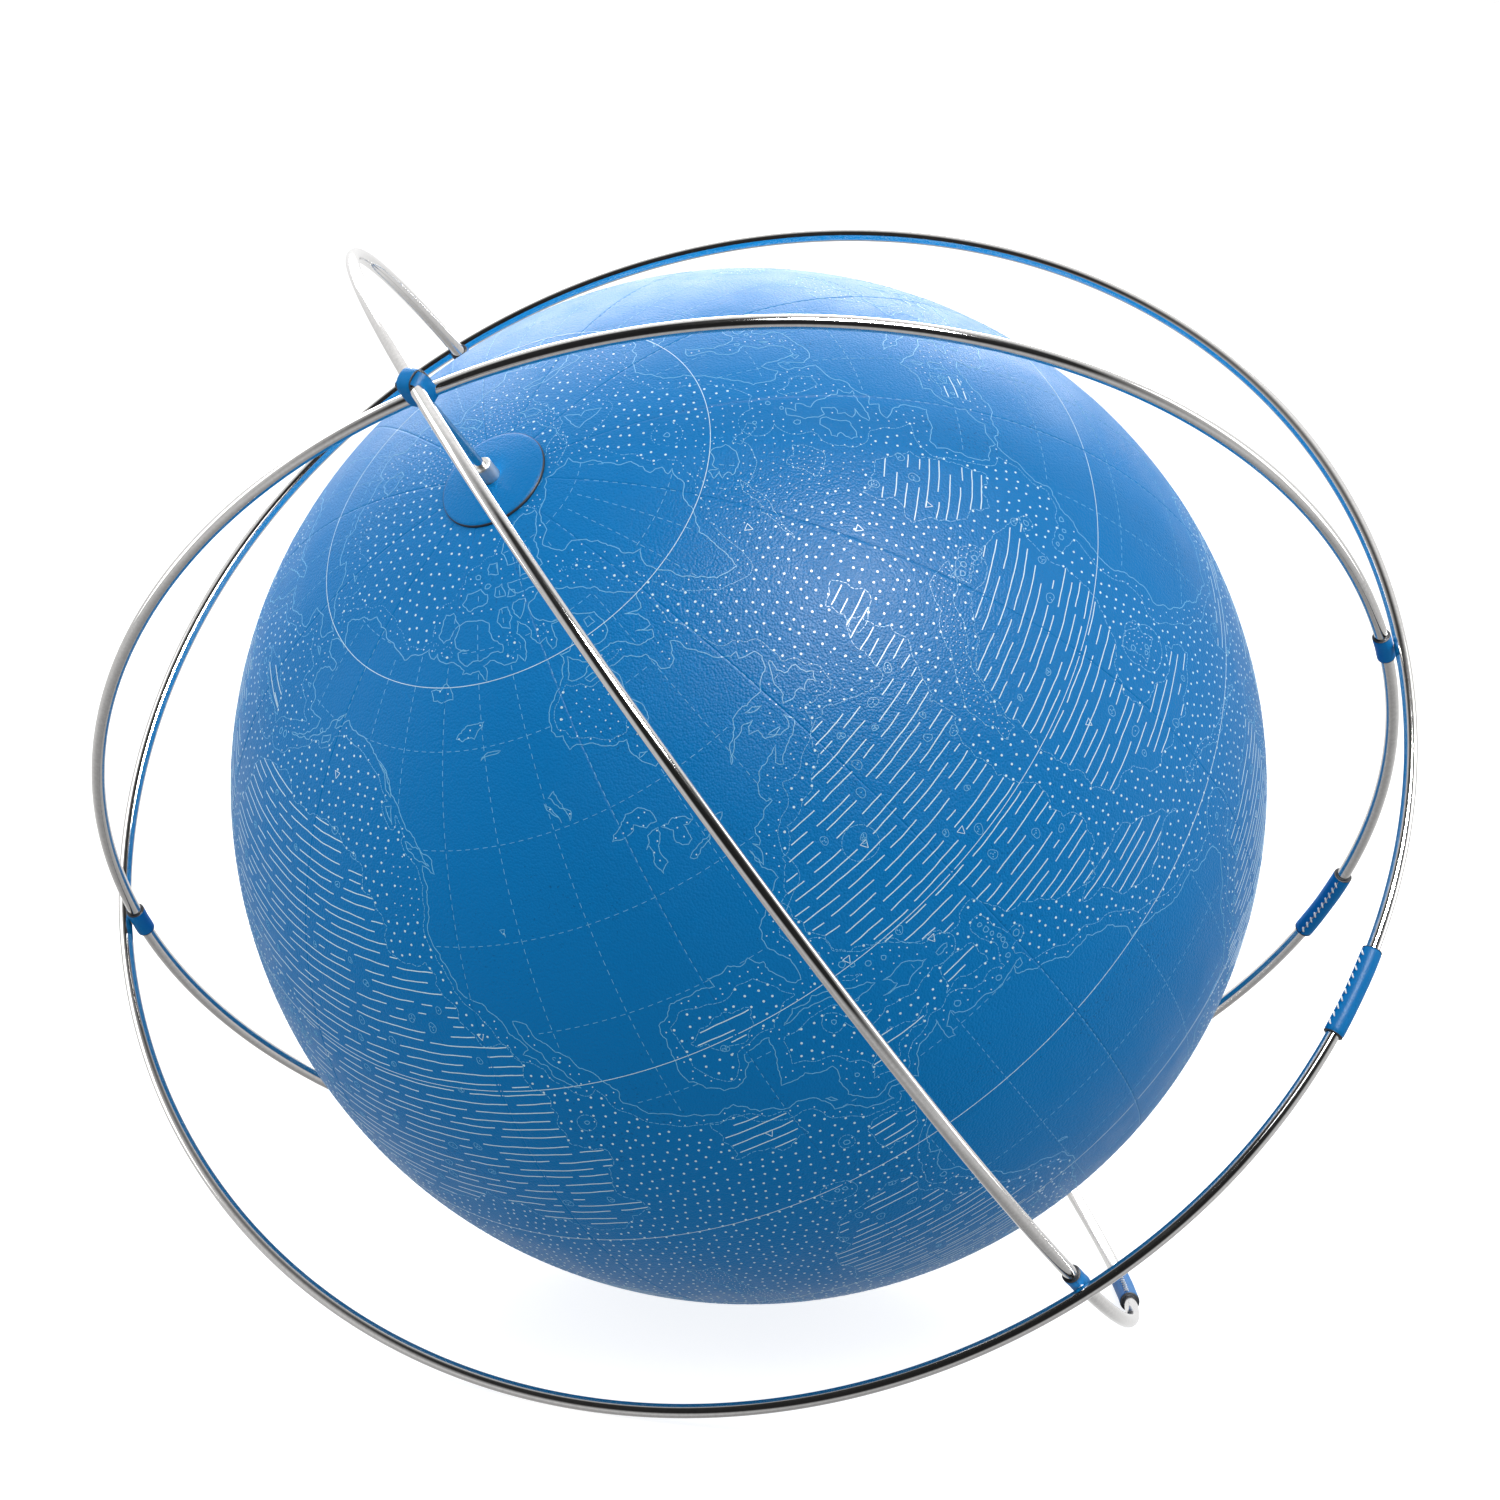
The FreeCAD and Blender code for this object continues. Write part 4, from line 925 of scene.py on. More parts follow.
ISLETS = """-28.5,38.6 -27.2,38.7 -25.5,37.8 -17,32.7 -17.9,28.7 -16.6,28.3 -15.5,28 -14,28.4 -25,17
 -24.3,15 -23.6,15.1 -64.8,32.3 -61.6,16.2 -61,14.6 -61.4,15.4 -61,13.9 -61.2,13.2 -61.7,12.1 -59.5,13.2
 -61.8,17.1 -75.8,24 -74.9,23.3 -73.5,22.4 -71.8,21.8 -91.2,-0.5 -90.4,-0.7 -7,62 -1.3,60.3 -3,59 -7,57.6
 -14.4,-7.9 -5.7,-16 -12.3,-37.1 -36.7,-54.4 -159.5,22.1 -158,21.5 -156.5,20.8 -155.6,57.9 -176.7,51.8
 -174.2,52.2 -168.5,53.2 -166.7,53.6 -109.4,-27.1 -149.5,-17.6 -172,-13.6 152.5,47 150,46 148,45.1
 144.8,13.5 145.7,15.2 55.5,-21.1 57.6,-20.3 55.5,-4.6 43.3,-11.7 73,4 92.8,12 93.8,7 70,-49.3 31,-3
 -8.7,71 3,39.6 14.4,35.9 -110.9,18.8 -105.5,76.8 -110.6,78.1 -87,5.5 -81.5,-6.7 -80.3,19.3 -81.7,12.5
 -64,11 -68.9,12.2 -32.4,-3.9 20,60.2 22.5,58.4 5.5,-0.1 8.7,3.5 159.2,-8.3 160.3,-9.6 167.2,-15.5
 178.7,51.6 173,52.9 129.3,28.4 128,26.5"""

SOUNDINGS = """-36.5,19.5 -66.5,19.8 -56,25.5 -20,43.6 -28,50 -147,55 -93,11 -75,24 -35,60.5 -65,32
 -120,30 -150,20 -78,-12 -75,-24 -25,-15 -45,-42 142,11.5 160,45 -172,-25 110,-11 80,-10 50,0 152,-35
 5,-30 18,35.5 -160,-60 60,-30 120,-45"""

# Sea bed. Basins carry long dashes; shallows and crests carry finer dots than the slopes between.

BASINS = {
    "north_american": """-73.6,36.6 -67,39.6 -61,41.8 -55.2,44.3 -50.2,41.8 -47.5,41.4 -46,45.5
 -42.5,47.3 -40.5,43.5 -44,38.5 -46,33 -48,27 -47.5,19 -46.5,12 -49,9.6 -54,12 -58.3,15.5 -60.3,19.6
 -66,20.4 -71,23.2 -75.3,27.5 -77,31 -75.4,34.4""",
    "labrador": "-44.5,46.5 -43,50 -38.5,50.8 -37.4,47.5 -40.5,46",
    "west_european": "-21,50.6 -14,49.6 -10.9,46 -11.6,43.5 -11.4,40 -11.6,37.4 -17,37 -21,40.5 -24,45",
    "canary": """-38,34.2 -30,36.8 -20,35.6 -16.5,33.6 -20.4,30 -21.5,25 -24,21.5 -29,18.4 -30.6,14
 -26,11.8 -21.6,12.4 -20,8.5 -27,7 -35,9 -40.5,13 -42.4,19 -42.2,26""",
    "guyana": "-52,9 -46.5,10.4 -40,7.5 -36.5,3.6 -44,2.8 -48.3,5.6",
    "mexico": "-95,24.6 -91,26.2 -87,25.4 -87.6,23.6 -92,22.4",
    "colombian": "-80,12.4 -76,15.2 -71.5,14.6 -73,13 -77,11.4",
    "venezuelan": "-69.2,14 -68,16.6 -63.6,16.3 -63.6,13.4",
    "northeast_pacific": """-147,50 -137.4,47 -132.6,38.8 -126,38.2 -122.6,31.8 -115.6,23.5 -114.4,16.5
 -110.3,14.7 -110,5.3 -120,3 -140,3 -150,8 -158,15 -153,22 -160,27 -172,30 -176,40 -172,48 -160,50.6""",
    "guatemala": "-98,15 -94,14.5 -90,12.6 -89.5,9 -93,8.2 -98,9.4",
    "panama": "-84.5,5.5 -82,6.4 -79,5 -80,2.5 -84,1.5",
    "peru": "-84,-4 -82.6,-10 -78.4,-15.4 -74.5,-20 -76,-27 -86,-30 -96,-26 -98,-15 -94,-6",
    "chile": "-78,-33 -77.4,-45 -85,-50 -95,-45 -95,-36 -86,-33",
    "southeast_pacific": "-82,-55 -75,-61 -90,-67 -115,-68 -135,-65 -130,-57 -110,-52 -95,-52",
    "southwest_pacific": "-125,-15 -122,-35 -130,-50 -150,-58 -168,-50 -170,-30 -160,-22 -145,-19",
    "brazil": "-33,-8 -18,-6 -17,-18 -18,-28 -30,-32 -40,-28 -36.5,-18 -32.5,-12",
    "argentine": "-52,-38 -40,-36 -25,-38 -20,-45 -35,-49 -52,-48 -56,-44",
    "angola": "6,-3 9.4,-8 10,-15 5,-19 -8,-18 -9,-8 -2,-4",
    "cape": "4,-24 12,-28 13,-36 5,-42 -6,-40 -8,-30",
    "guinea": "-14,4 -4,2.5 3,2 4,-1 -10,-2 -14,0",
    "weddell": "-45,-63 -10,-60 25,-57 35,-63 10,-67 -30,-70",
    "madagascar": "52,-26 60,-25 57,-33 50,-36 44,-33",
    "mascarene": "52,-12 56,-15 54,-20 51.5,-19",
    "somali": "52,8 57,4 58,-5 50,-8 46,-3 49,3",
    "arabian": "60,20 66,20 68,14 64,8 58,12",
    "bengal": "83,16 90,17 91,5 84,3",
    "central_indian": "72,-2 84,-2 86,-20 78,-26 70,-15",
    "wharton": "92,-3 98,-8 108,-12 110,-22 104,-33 94,-30 91,-15",
    "crozet": "55,-37 70,-40 65,-48 52,-47",
    "south_australian": "115,-38 140,-42 135,-50 118,-48",
    "australian_antarctic": "85,-56 110,-54 140,-56 150,-62 120,-64 90,-63",
    "tasman": "152,-32 158,-35 160,-42 152,-44 150.5,-39",
    "coral": "148,-14 156,-14 155,-19",
    "philippine": "126,22 134,28 138,20 140,12 132,7 128,10 126,16",
    "south_china": "112,18 118,17 116,12 112,12",
    "japan": "132,42 138,43 136,40 132,38.5",
    "okhotsk": "147,48 152,49 150,46.4",
    "northwest_pacific": "148,40 160,48 170,47 178,42 183,33 172,28 160,32 150,30 146,34",
    "central_pacific": "160,12 175,15 185,12 190,2 180,-2 165,3",
    "south_fiji": "170,-24 178,-24 176,-31 171,-30",
    "aleutian": "172,55 180,56.5 186,55.5 188,53.6 178,53.2",
    "algerian": "2,41 7,41.5 7.5,38.2 2,37.8",
    "ionian": "16,38 20,36.5 19.5,33.6 16.5,34.5",
    "levantine": "27,34 32,33.8 31,32.4 27,32.6",
}

SHALLOWS = {
    "iceland_faroe": "-42,60.5 -30,58 -22,54 -14,49 -4,52 4,60 4,66 -8,69.5 -22,70 -38,66",
    "grand_banks": "-55,47.8 -50.5,48.6 -47.9,46.5 -49.5,43.4 -54,44.6",
    "north": "-6,61 3,61.5 6,57 2,53 -4,58",
    "celtic": "-10.8,51 -8,48 -5,47.4 -4,50",
    "barents": "20,75 35,77 52,74 50,70 35,70 20,72",
    "kara": "70,76 90,77.6 80,74 72,73.6",
    "siberian": "125,76.5 150,77 170,73 175,71 150,72.5 130,73.5",
    "bering": "-178,62.5 -172,65 -166,62 -166,57 -172,58",
    "chukchi": "-175,70 -165,71.5 -160,71.5 -170,68",
    "hudson": "-95,59 -87,64 -78,62.6 -76,57 -82,54 -90,57",
    "foxe": "-83,69 -76,68 -76,65 -82,65",
    "patagonia": "-67,-43 -61,-46 -57,-51 -63,-55 -70,-51",
    "sunda": "103,8 109,6 108,0 112,-5 106,-4 104,3",
    "arafura": "131,-9 138,-11 140,-15 136,-11",
    "yellow": "122,38 125.5,35 124,30 121,33",
    "gulf_of_alaska": "-133.6,50 -127,49.6 -125.6,43 -131,42.6",
    "great_bight": "126,-33 133,-34 130,-36",
    "bahamas": "-79.6,27 -76.5,27 -73,21.5 -76,22 -79,23.6",
    "campeche": "-92,22.4 -87.4,23.5 -87,21.8 -91,21",
    "nicaragua": "-83,16 -79.6,17.5 -80,14.6 -83,13",
    "baltic": "11,54 22,55 30,60 18,61 20,65 24,65 16,56",
    "persian": "48,30 54,27 56,25 50,25",
    "adriatic": "13,45 18,42 17,41 13,43",
}

CRESTS = {
    "mid_atlantic": """-30.5,41.4 -27.6,40.4 -33.5,38.2 -38,35.5 -41.5,31.4 -42.6,27 -44.4,27 -44.5,31
 -41,35.6 -35,39.4""",
    "mid_atlantic_south": "-14,-10 -12,-20 -14,-35 -17,-35 -15.5,-20 -16.5,-10",
    "equatorial": "-32,4.6 -26,1.6 -18,-0.6 -17,-2 -26,0.3 -33,3",
    "azores": "-30,39.7 -24.6,39.4 -24,37 -29.4,37.5",
    "reykjanes": "-34,55.8 -30,58.4 -25.6,61.6 -23.6,63 -27,62 -32.6,57.6",
    "rockall": "-18,58.6 -13,58.2 -14,55 -20,55.6",
    "faroe": "-13,64.4 -7,62.8 -8,61.8 -13.6,63.4",
    "cape_verde": "-25.8,18.6 -21.6,17.6 -22,14.4 -25.4,14.6",
    "east_pacific": "-110,-8 -107.6,-20 -112,-32 -115,-32 -111,-20 -113,-8",
    "walvis": "10,-19 4,-24 -6,-33 -7,-31 3,-22.6",
    "ninety_east": "88,8 89.5,8 89.2,-28 87.4,-28",
    "carlsberg": "57,10 67,2 67,-18 65,-18 65,2 56,8.4",
    "hawaii": "-154,19 -160,23.6 -172,27 -172,25.6 -160,21.6 -155.6,18",
    "kerguelen": "68,-47 72,-50 80,-57 76,-58 67,-49",
    "emperor": "168,48 171,40 171.4,32 169.6,32 168.8,40 166,48",
    "lord_howe": "160,-20 162,-33 168,-38 165,-33 163,-20",
    "lomonosov": "-70,84 -40,84 140,80 145,80 150,84",
}

# ---------------------------------------------------------------- the printed map: drawing

MAP_SEED = 12
# Degrees in a cell of the rasters, and how far they reach past the date line before they are folded.
RASTER = 0.1
FOLD = 20
DEGREE = math.radians(1) * GLOBE_RADIUS
INK_LIFT = 0.045 * MM
INK_ROOT = 0.06 * MM
COAST_WIDTH = 0.2 * MM
FINE_WIDTH = 0.14 * MM
DASH_WIDTH = 0.28 * MM
CIRCLE_WIDTH = 0.18 * MM
CIRCLES = (0.0, 23.44, -23.44, 66.56, -66.56)
CAP_LATITUDE = 84.1
# Degrees of each graticule dash, and from one dash to the next.
GRATICULE_DASH = 0.56
GRATICULE_PITCH = 1.05
SEAMOUNTS = 190
SEAMOUNTS_APART = 2.2
BASIN_ROW_PITCH = 1.16
# Kind of dot, degrees from one to the next, radius in millimetres, number of sides.
DOTS = (("large", 1.34, 0.36, 7), ("medium", 1.12, 0.21, 6), ("fine", 0.70, 0.16, 6))
SOUNDING_SIZE = 0.42
SOUNDING_WIDTH = 0.17 * MM


def outline(text):
    """Longitude and latitude pairs as an array with two columns."""
    return np.array([[float(value) for value in pair.split(",")] for pair in text.split()])


def roughen(points, closed, wobble, finest, rng):
    """Break straight stretches into a natural crinkled line: pushed midpoints, again and again."""
    line = [tuple(point) for point in points]
    if closed:
        line.append(line[0])
    while True:
        finer = [line[0]]
        for (lon_a, lat_a), (lon_b, lat_b) in zip(line, line[1:]):
            shrink = max(0.12, math.cos(math.radians((lat_a + lat_b) / 2)))
            east, north = (lon_b - lon_a) * shrink, lat_b - lat_a
            if math.hypot(east, north) > finest:
                push = max(-1.6 * wobble, min(1.6 * wobble, rng.gauss(0, wobble)))
                lon, lat = (lon_a + lon_b) / 2, (lat_a + lat_b) / 2
                finer.append((lon + push * north / shrink, lat - push * east))
            finer.append((lon_b, lat_b))
        if len(finer) == len(line):
            return np.array(line)
        line = finer


def fill(outlines):
    """Raster of the world, True inside any of the closed outlines."""
    rows, columns = round(180 / RASTER), round((360 + 2 * FOLD) / RASTER)
    grid = np.zeros((rows, columns), bool)
    for line in outlines:
        lon, lat = line[:-1, 0], line[:-1, 1]
        lon_next, lat_next = line[1:, 0], line[1:, 1]
        first = max(0, int((lat.min() + 90) / RASTER))
        last = min(rows - 1, int((lat.max() + 90) / RASTER) + 1)
        for row in range(first, last + 1):
            level = (row + 0.5) * RASTER - 90
            cross = (lat <= level) != (lat_next <= level)
            if not cross.any():
                continue
            share = (level - lat[cross]) / (lat_next[cross] - lat[cross])
            places = np.sort(lon[cross] + share * (lon_next[cross] - lon[cross]))
            cells = ((places + (180 + FOLD)) / RASTER + 0.5).astype(int)
            for start, end in zip(cells[::2], cells[1::2]):
                grid[row, max(0, start):end] = True
    fold = round(FOLD / RASTER)
    world = grid[:, fold:-fold]
    world[:, :fold] |= grid[:, -fold:]
    world[:, -fold:] |= grid[:, :fold]
    return world


def look_up(grid, lon, lat):
    """What a raster says at places given in degrees."""
    column = (np.mod(np.asarray(lon) + 180, 360) / RASTER).astype(int) % grid.shape[1]
    row = np.clip(((np.asarray(lat) + 90) / RASTER).astype(int), 0, grid.shape[0] - 1)
    return grid[row, column]


def leather_height(points):
    """Radius of the leather under unit vectors in the globe's axes."""
    lon = np.degrees(np.arctan2(points[..., 1], points[..., 0]))
    apart = np.abs(np.mod(lon + GORE_SPAN / 2, GORE_SPAN) - GORE_SPAN / 2)
    flat = np.hypot(points[..., 0], points[..., 1])
    return skin_radius(np.radians(apart) * flat * GLOBE_RADIUS)


class Ink:
    """Collects raised print: ribbons and dots laid on the leather."""

    def __init__(self):
        self.verts, self.faces, self.count = [], [], 0

    def lay(self, stations, faces):
        """stations: (rows, columns, 3) unit directions; the last half of each row is the root."""
        directions = stations / np.linalg.norm(stations, axis=-1, keepdims=True)
        radius = leather_height(directions)
        half = stations.shape[-2] // 2
        radius[..., :half] += INK_LIFT
        radius[..., half:] -= INK_ROOT
        world = to_world(directions, radius)
        self.verts.append(world.reshape(-1, 3))
        self.faces += [tuple(index + self.count for index in face) for face in faces]
        self.count += world.size // 3

    def ribbon(self, lon, lat, width, closed=False):
        """Flat line through places in degrees; a closed one repeats its first place at the end."""
        line = unit(lon, lat)
        if closed:
            line = line[:-1]
            ahead = np.roll(line, -1, axis=0) - np.roll(line, 1, axis=0)
        else:
            ahead = np.gradient(line, axis=0)
        side = np.cross(line, ahead)
        side /= np.maximum(np.linalg.norm(side, axis=-1, keepdims=True), 1e-12)
        side *= width / 2 / GLOBE_RADIUS
        stations = np.stack([line + side, line - side, line - side, line + side], axis=1)
        count = len(line)
        faces = lattice_faces(count, 4, wrap_rows=closed)
        if not closed:
            faces += [(3, 2, 1, 0), tuple(4 * (count - 1) + i for i in range(4))]
        self.lay(stations, faces)

    def dot(self, lon, lat, radius, sides):
        centre = unit(lon, lat)
        east = np.array([-math.sin(math.radians(lon)), math.cos(math.radians(lon)), 0.0])
        north = np.cross(centre, east)
        turns = np.arange(sides) * 2 * math.pi / sides
        around = np.cos(turns)[:, None] * east + np.sin(turns)[:, None] * north
        rim = centre + around * radius / GLOBE_RADIUS
        stations = np.concatenate([rim, rim])[None]
        faces = [tuple(range(sides)), tuple(reversed(range(sides, 2 * sides)))]
        faces += [(i, i + sides, (i + 1) % sides + sides, (i + 1) % sides) for i in range(sides)]
        self.lay(stations, faces)

    def piece(self, name, colour):
        verts = np.concatenate(self.verts)
        return mesh_piece(name, verts, self.faces, colour, "globe", smooth=False)


class World:
    """Outlines of the map and what lies where."""

    def __init__(self):
        rng = random.Random(MAP_SEED)

        def rough(table, wobble, finest):
            return [roughen(outline(text), True, wobble, finest, rng) for text in table.values()]

        self.coasts = rough(LANDS, wobble=0.095, finest=0.5)
        self.ice = roughen(outline(ANTARCTIC_COAST), closed=False, wobble=0.11, finest=0.5, rng=rng)
        south = np.concatenate([self.ice, [(180, -90), (-180, -90), self.ice[0]]])
        for lon, lat in outline(ISLETS):
            size = rng.uniform(0.22, 0.38)
            turns = np.linspace(0, 2 * math.pi, 8)
            shape = size * np.array([1 + 0.25 * rng.uniform(-1, 1) for _ in turns])
            shape[-1] = shape[0]
            shrink = max(0.12, math.cos(math.radians(lat)))
            islet = [lon + shape * np.cos(turns) / shrink, lat + shape * np.sin(turns)]
            self.coasts.append(np.stack(islet, 1))
        self.lakes = rough(LAKES, wobble=0.1, finest=0.4)
        self.land = fill(self.coasts + [south])
        self.lake = fill(self.lakes)
        self.basin_lines = rough(BASINS, wobble=0.14, finest=0.8)
        self.basin_all = fill(self.basin_lines)
        # The seamounts take their cells out of this copy, so that dashes keep clear of them.
        self.basin = self.basin_all.copy()
        self.shallow = fill(rough(SHALLOWS, wobble=0.12, finest=0.8))
        self.crest_lines = rough(CRESTS, wobble=0.12, finest=0.7)
        self.crest = fill(self.crest_lines)
        shore = np.concatenate(self.coasts + [self.ice])
        self.tree = kdtree.KDTree(len(shore))
        for index, point in enumerate(unit(shore[:, 0], shore[:, 1])):
            self.tree.insert(point, index)
        self.tree.balance()
        self.swells = [(np.array([rng.gauss(0, 1) for _ in range(3)]) * rng.uniform(5, 16),
                        rng.uniform(0, 6.28)) for _ in range(14)]

    def gap(self, lon, lat):
        """Degrees from each place to the nearest coast."""
        points = unit(np.asarray(lon, float), np.asarray(lat, float)).reshape(-1, 3)
        return np.degrees(np.array([self.tree.find(point)[2] for point in points]))

    def shelf_width(self, lon, lat):
        """How far the shelf reaches from the coast here, in degrees."""
        points = unit(np.asarray(lon, float), np.asarray(lat, float))
        swell = sum(np.sin(points @ wave + phase) for wave, phase in self.swells)
        return np.clip(1.35 + 0.22 * swell, 0.55, 2.6)

    def sea(self, lon, lat):
        """True where there is neither land nor lake."""
        return ~look_up(self.land, lon, lat) & ~look_up(self.lake, lon, lat)


def contour(ink, line, world, width, rng):
    """Depth contour: a chain of short thin strokes where the line crosses open sea."""
    for start in range(len(line) - 1):
        piece = line[start:start + 2]
        middle = piece.mean(axis=0)
        if not world.sea(*middle) or abs(middle[1]) > CAP_LATITUDE:
            continue
        shrunk = middle + (piece - middle) * rng.uniform(0.62, 0.8)
        ink.ribbon(shrunk[:, 0], shrunk[:, 1], width)


def shelf_edge(ink, world, rng):
    """Where the coast gap equals the shelf width, in short strokes found cell by cell."""
    step = 0.55
    lats = np.arange(-72, 83.5, step)
    lons = np.arange(-180, 180.01, step)
    grid_lon, grid_lat = np.meshgrid(lons, lats)
    gap = world.gap(grid_lon, grid_lat).reshape(grid_lon.shape)
    level = gap - world.shelf_width(grid_lon, grid_lat)
    sea = world.sea(grid_lon, grid_lat)
    for row in range(len(lats) - 1):
        for column in range(len(lons) - 1):
            if not (sea[row, column] and sea[row + 1, column + 1]):
                continue
            corners = ((row, column), (row, column + 1), (row + 1, column + 1), (row + 1, column))
            values = [level[corner] for corner in corners]
            if min(values) > 0 or max(values) < 0:
                continue
            cuts = []
            sides = zip(corners, corners[1:] + corners[:1], values, values[1:] + values[:1])
            for a, b, value, following in sides:
                if (value > 0) != (following > 0):
                    share = value / (value - following)
                    cuts.append((grid_lon[a] + share * (grid_lon[b] - grid_lon[a]),
                                 grid_lat[a] + share * (grid_lat[b] - grid_lat[a])))
            if len(cuts) == 2:
                cuts = np.array(cuts)
                middle = cuts.mean(axis=0)
                if math.cos(math.radians(middle[1])) < 0.45 and column % 2:
                    continue
                shrunk = middle + (cuts - middle) * rng.uniform(0.6, 0.85)
                ink.ribbon(shrunk[:, 0], shrunk[:, 1], FINE_WIDTH)


def draw_lines(world, rng):
    """Coasts, lake shores, depth contours, and the equator, tropics and polar circles."""
    ink = Ink()
    for line in world.coasts:
        ink.ribbon(line[:, 0], line[:, 1], COAST_WIDTH, closed=True)
    ink.ribbon(world.ice[:, 0], world.ice[:, 1], COAST_WIDTH)
    ink.piece("map_coastlines", FINE_INK)
    ink = Ink()
    for line in world.lakes:
        ink.ribbon(line[:, 0], line[:, 1], COAST_WIDTH, closed=True)
    ink.piece("map_lakeshores", FINE_INK)
    ink = Ink()
    for line in world.basin_lines + world.crest_lines:
        contour(ink, line, world, FINE_WIDTH, rng)
    shelf_edge(ink, world, rng)
    ink.piece("map_depth_contours", FINE_INK)
    ink = Ink()
    around = np.linspace(0, 360, 721)
    for lat in CIRCLES:
        ink.ribbon(around, np.full(around.shape, lat), CIRCLE_WIDTH, closed=True)
    ink.piece("map_circles", PRINT_INK)


def draw_graticule(world):
    """Dashes every ten degrees, on land only."""
    ink = Ink()
    dash = np.array([0, GRATICULE_DASH / 2, GRATICULE_DASH])

    def draw_dash(lons, lats):
        if look_up(world.land, lons, lats).all() and not look_up(world.lake, lons[1], lats[1]):
            ink.ribbon(lons, lats, FINE_WIDTH)

    for lat in range(-80, 81, 10):
        if lat == 0:
            continue
        shrink = math.cos(math.radians(lat))
        count = int(360 * shrink / GRATICULE_PITCH)
        for number in range(count):
            draw_dash(-180 + 360 * number / count + dash / shrink, np.full(3, float(lat)))
    for lon in range(-180, 180, 10):
        for number in range(int(160 / GRATICULE_PITCH)):
            draw_dash(np.full(3, float(lon)), -80 + number * GRATICULE_PITCH + dash)
    ink.piece("map_graticule", FINE_INK)


def scatter_seamounts(world, rng):
    """Small closed rings with a few fine dots, in the deep basins; dashes keep clear of them."""
    mounts = []
    while len(mounts) < SEAMOUNTS:
        lat = math.degrees(math.asin(rng.uniform(-0.88, 0.85)))
        lon = rng.uniform(-180, 180)
        if not look_up(world.basin, lon, lat) or not world.sea(lon, lat):
            continue
        place = unit(lon, lat)
        nearest = math.cos(math.radians(SEAMOUNTS_APART))
        if any(np.dot(place, other[2]) > nearest for other in mounts):
            continue
        mounts.append((lon, lat, place))
    ink = Ink()
    grid_lat = (np.arange(world.basin.shape[0]) + 0.5) * RASTER - 90
    grid_lon = (np.arange(world.basin.shape[1]) + 0.5) * RASTER - 180
    for lon, lat, _ in mounts:
        shrink = math.cos(math.radians(lat))
        size = rng.uniform(0.30, 0.55)
        turns = np.linspace(0, 2 * math.pi, 15)
        phase = rng.uniform(0, 6)
        shape = size * (1 + 0.16 * np.sin(2 * turns + phase) + 0.08 * np.sin(3 * turns - phase))
        around = lon + shape * np.cos(turns) / shrink, lat + shape * np.sin(turns)
        ink.ribbon(*around, FINE_WIDTH, closed=True)
        for number in range(rng.randint(1, 4)):
            turn = number * 2.1 + phase
            reach = size * (0.0 if number == 0 else 0.5)
            ink.dot(lon + reach * math.cos(turn) / shrink, lat + reach * math.sin(turn), 0.19 * MM, 6)
        rows = np.abs(grid_lat - lat) < size + 0.4
        columns = np.abs(np.mod(grid_lon - lon + 180, 360) - 180) < (size + 0.35) / shrink
        world.basin[np.ix_(rows, columns)] = False
    ink.piece("map_seamounts", FINE_INK)


def draw_dashes(world, rng):
    """Rows of long hand-drawn dashes along the parallels of the deep basins."""
    north, south = Ink(), Ink()
    lat = -76.0
    while lat < 76:
        shrink = math.cos(math.radians(lat))
        if min(abs(lat - circle) for circle in CIRCLES) < 0.42:
            lat += 0.5
        ink = north if lat > 0 else south
        lon = -180 + rng.uniform(0, 5)
        while lon < 180:
            length = rng.uniform(2.4, 5.5) if rng.random() < 0.34 else rng.uniform(5.5, 12.5)
            slip = rng.uniform(-0.16, 0.16)
            phase, bend = rng.uniform(0, 6.28), rng.uniform(0.015, 0.05)
            step = 0.35 / shrink
            spots = lon + np.arange(0, length / shrink + step * 0.5, step)
            inside = look_up(world.basin, spots, np.full(spots.shape, lat + slip))
            inside &= world.sea(spots, np.full(spots.shape, lat))
            start = 0
            while start < len(spots):
                if not inside[start]:
                    start += 1
                    continue
                end = start
                while end < len(spots) and inside[end]:
                    end += 1
                if end - start > 3:
                    run = spots[start:end]
                    wave = bend * np.sin(run * shrink * 1.1 + phase)
                    wave += 0.3 * bend * np.sin(run * shrink * 3.1)
                    ink.ribbon(run, lat + slip + wave, DASH_WIDTH)
                start = end
            lon += (length + rng.uniform(0.9, 1.5)) / shrink
        lat += BASIN_ROW_PITCH
    north.piece("map_basin_dashes_north", PRINT_INK)
    south.piece("map_basin_dashes_south", PRINT_INK)


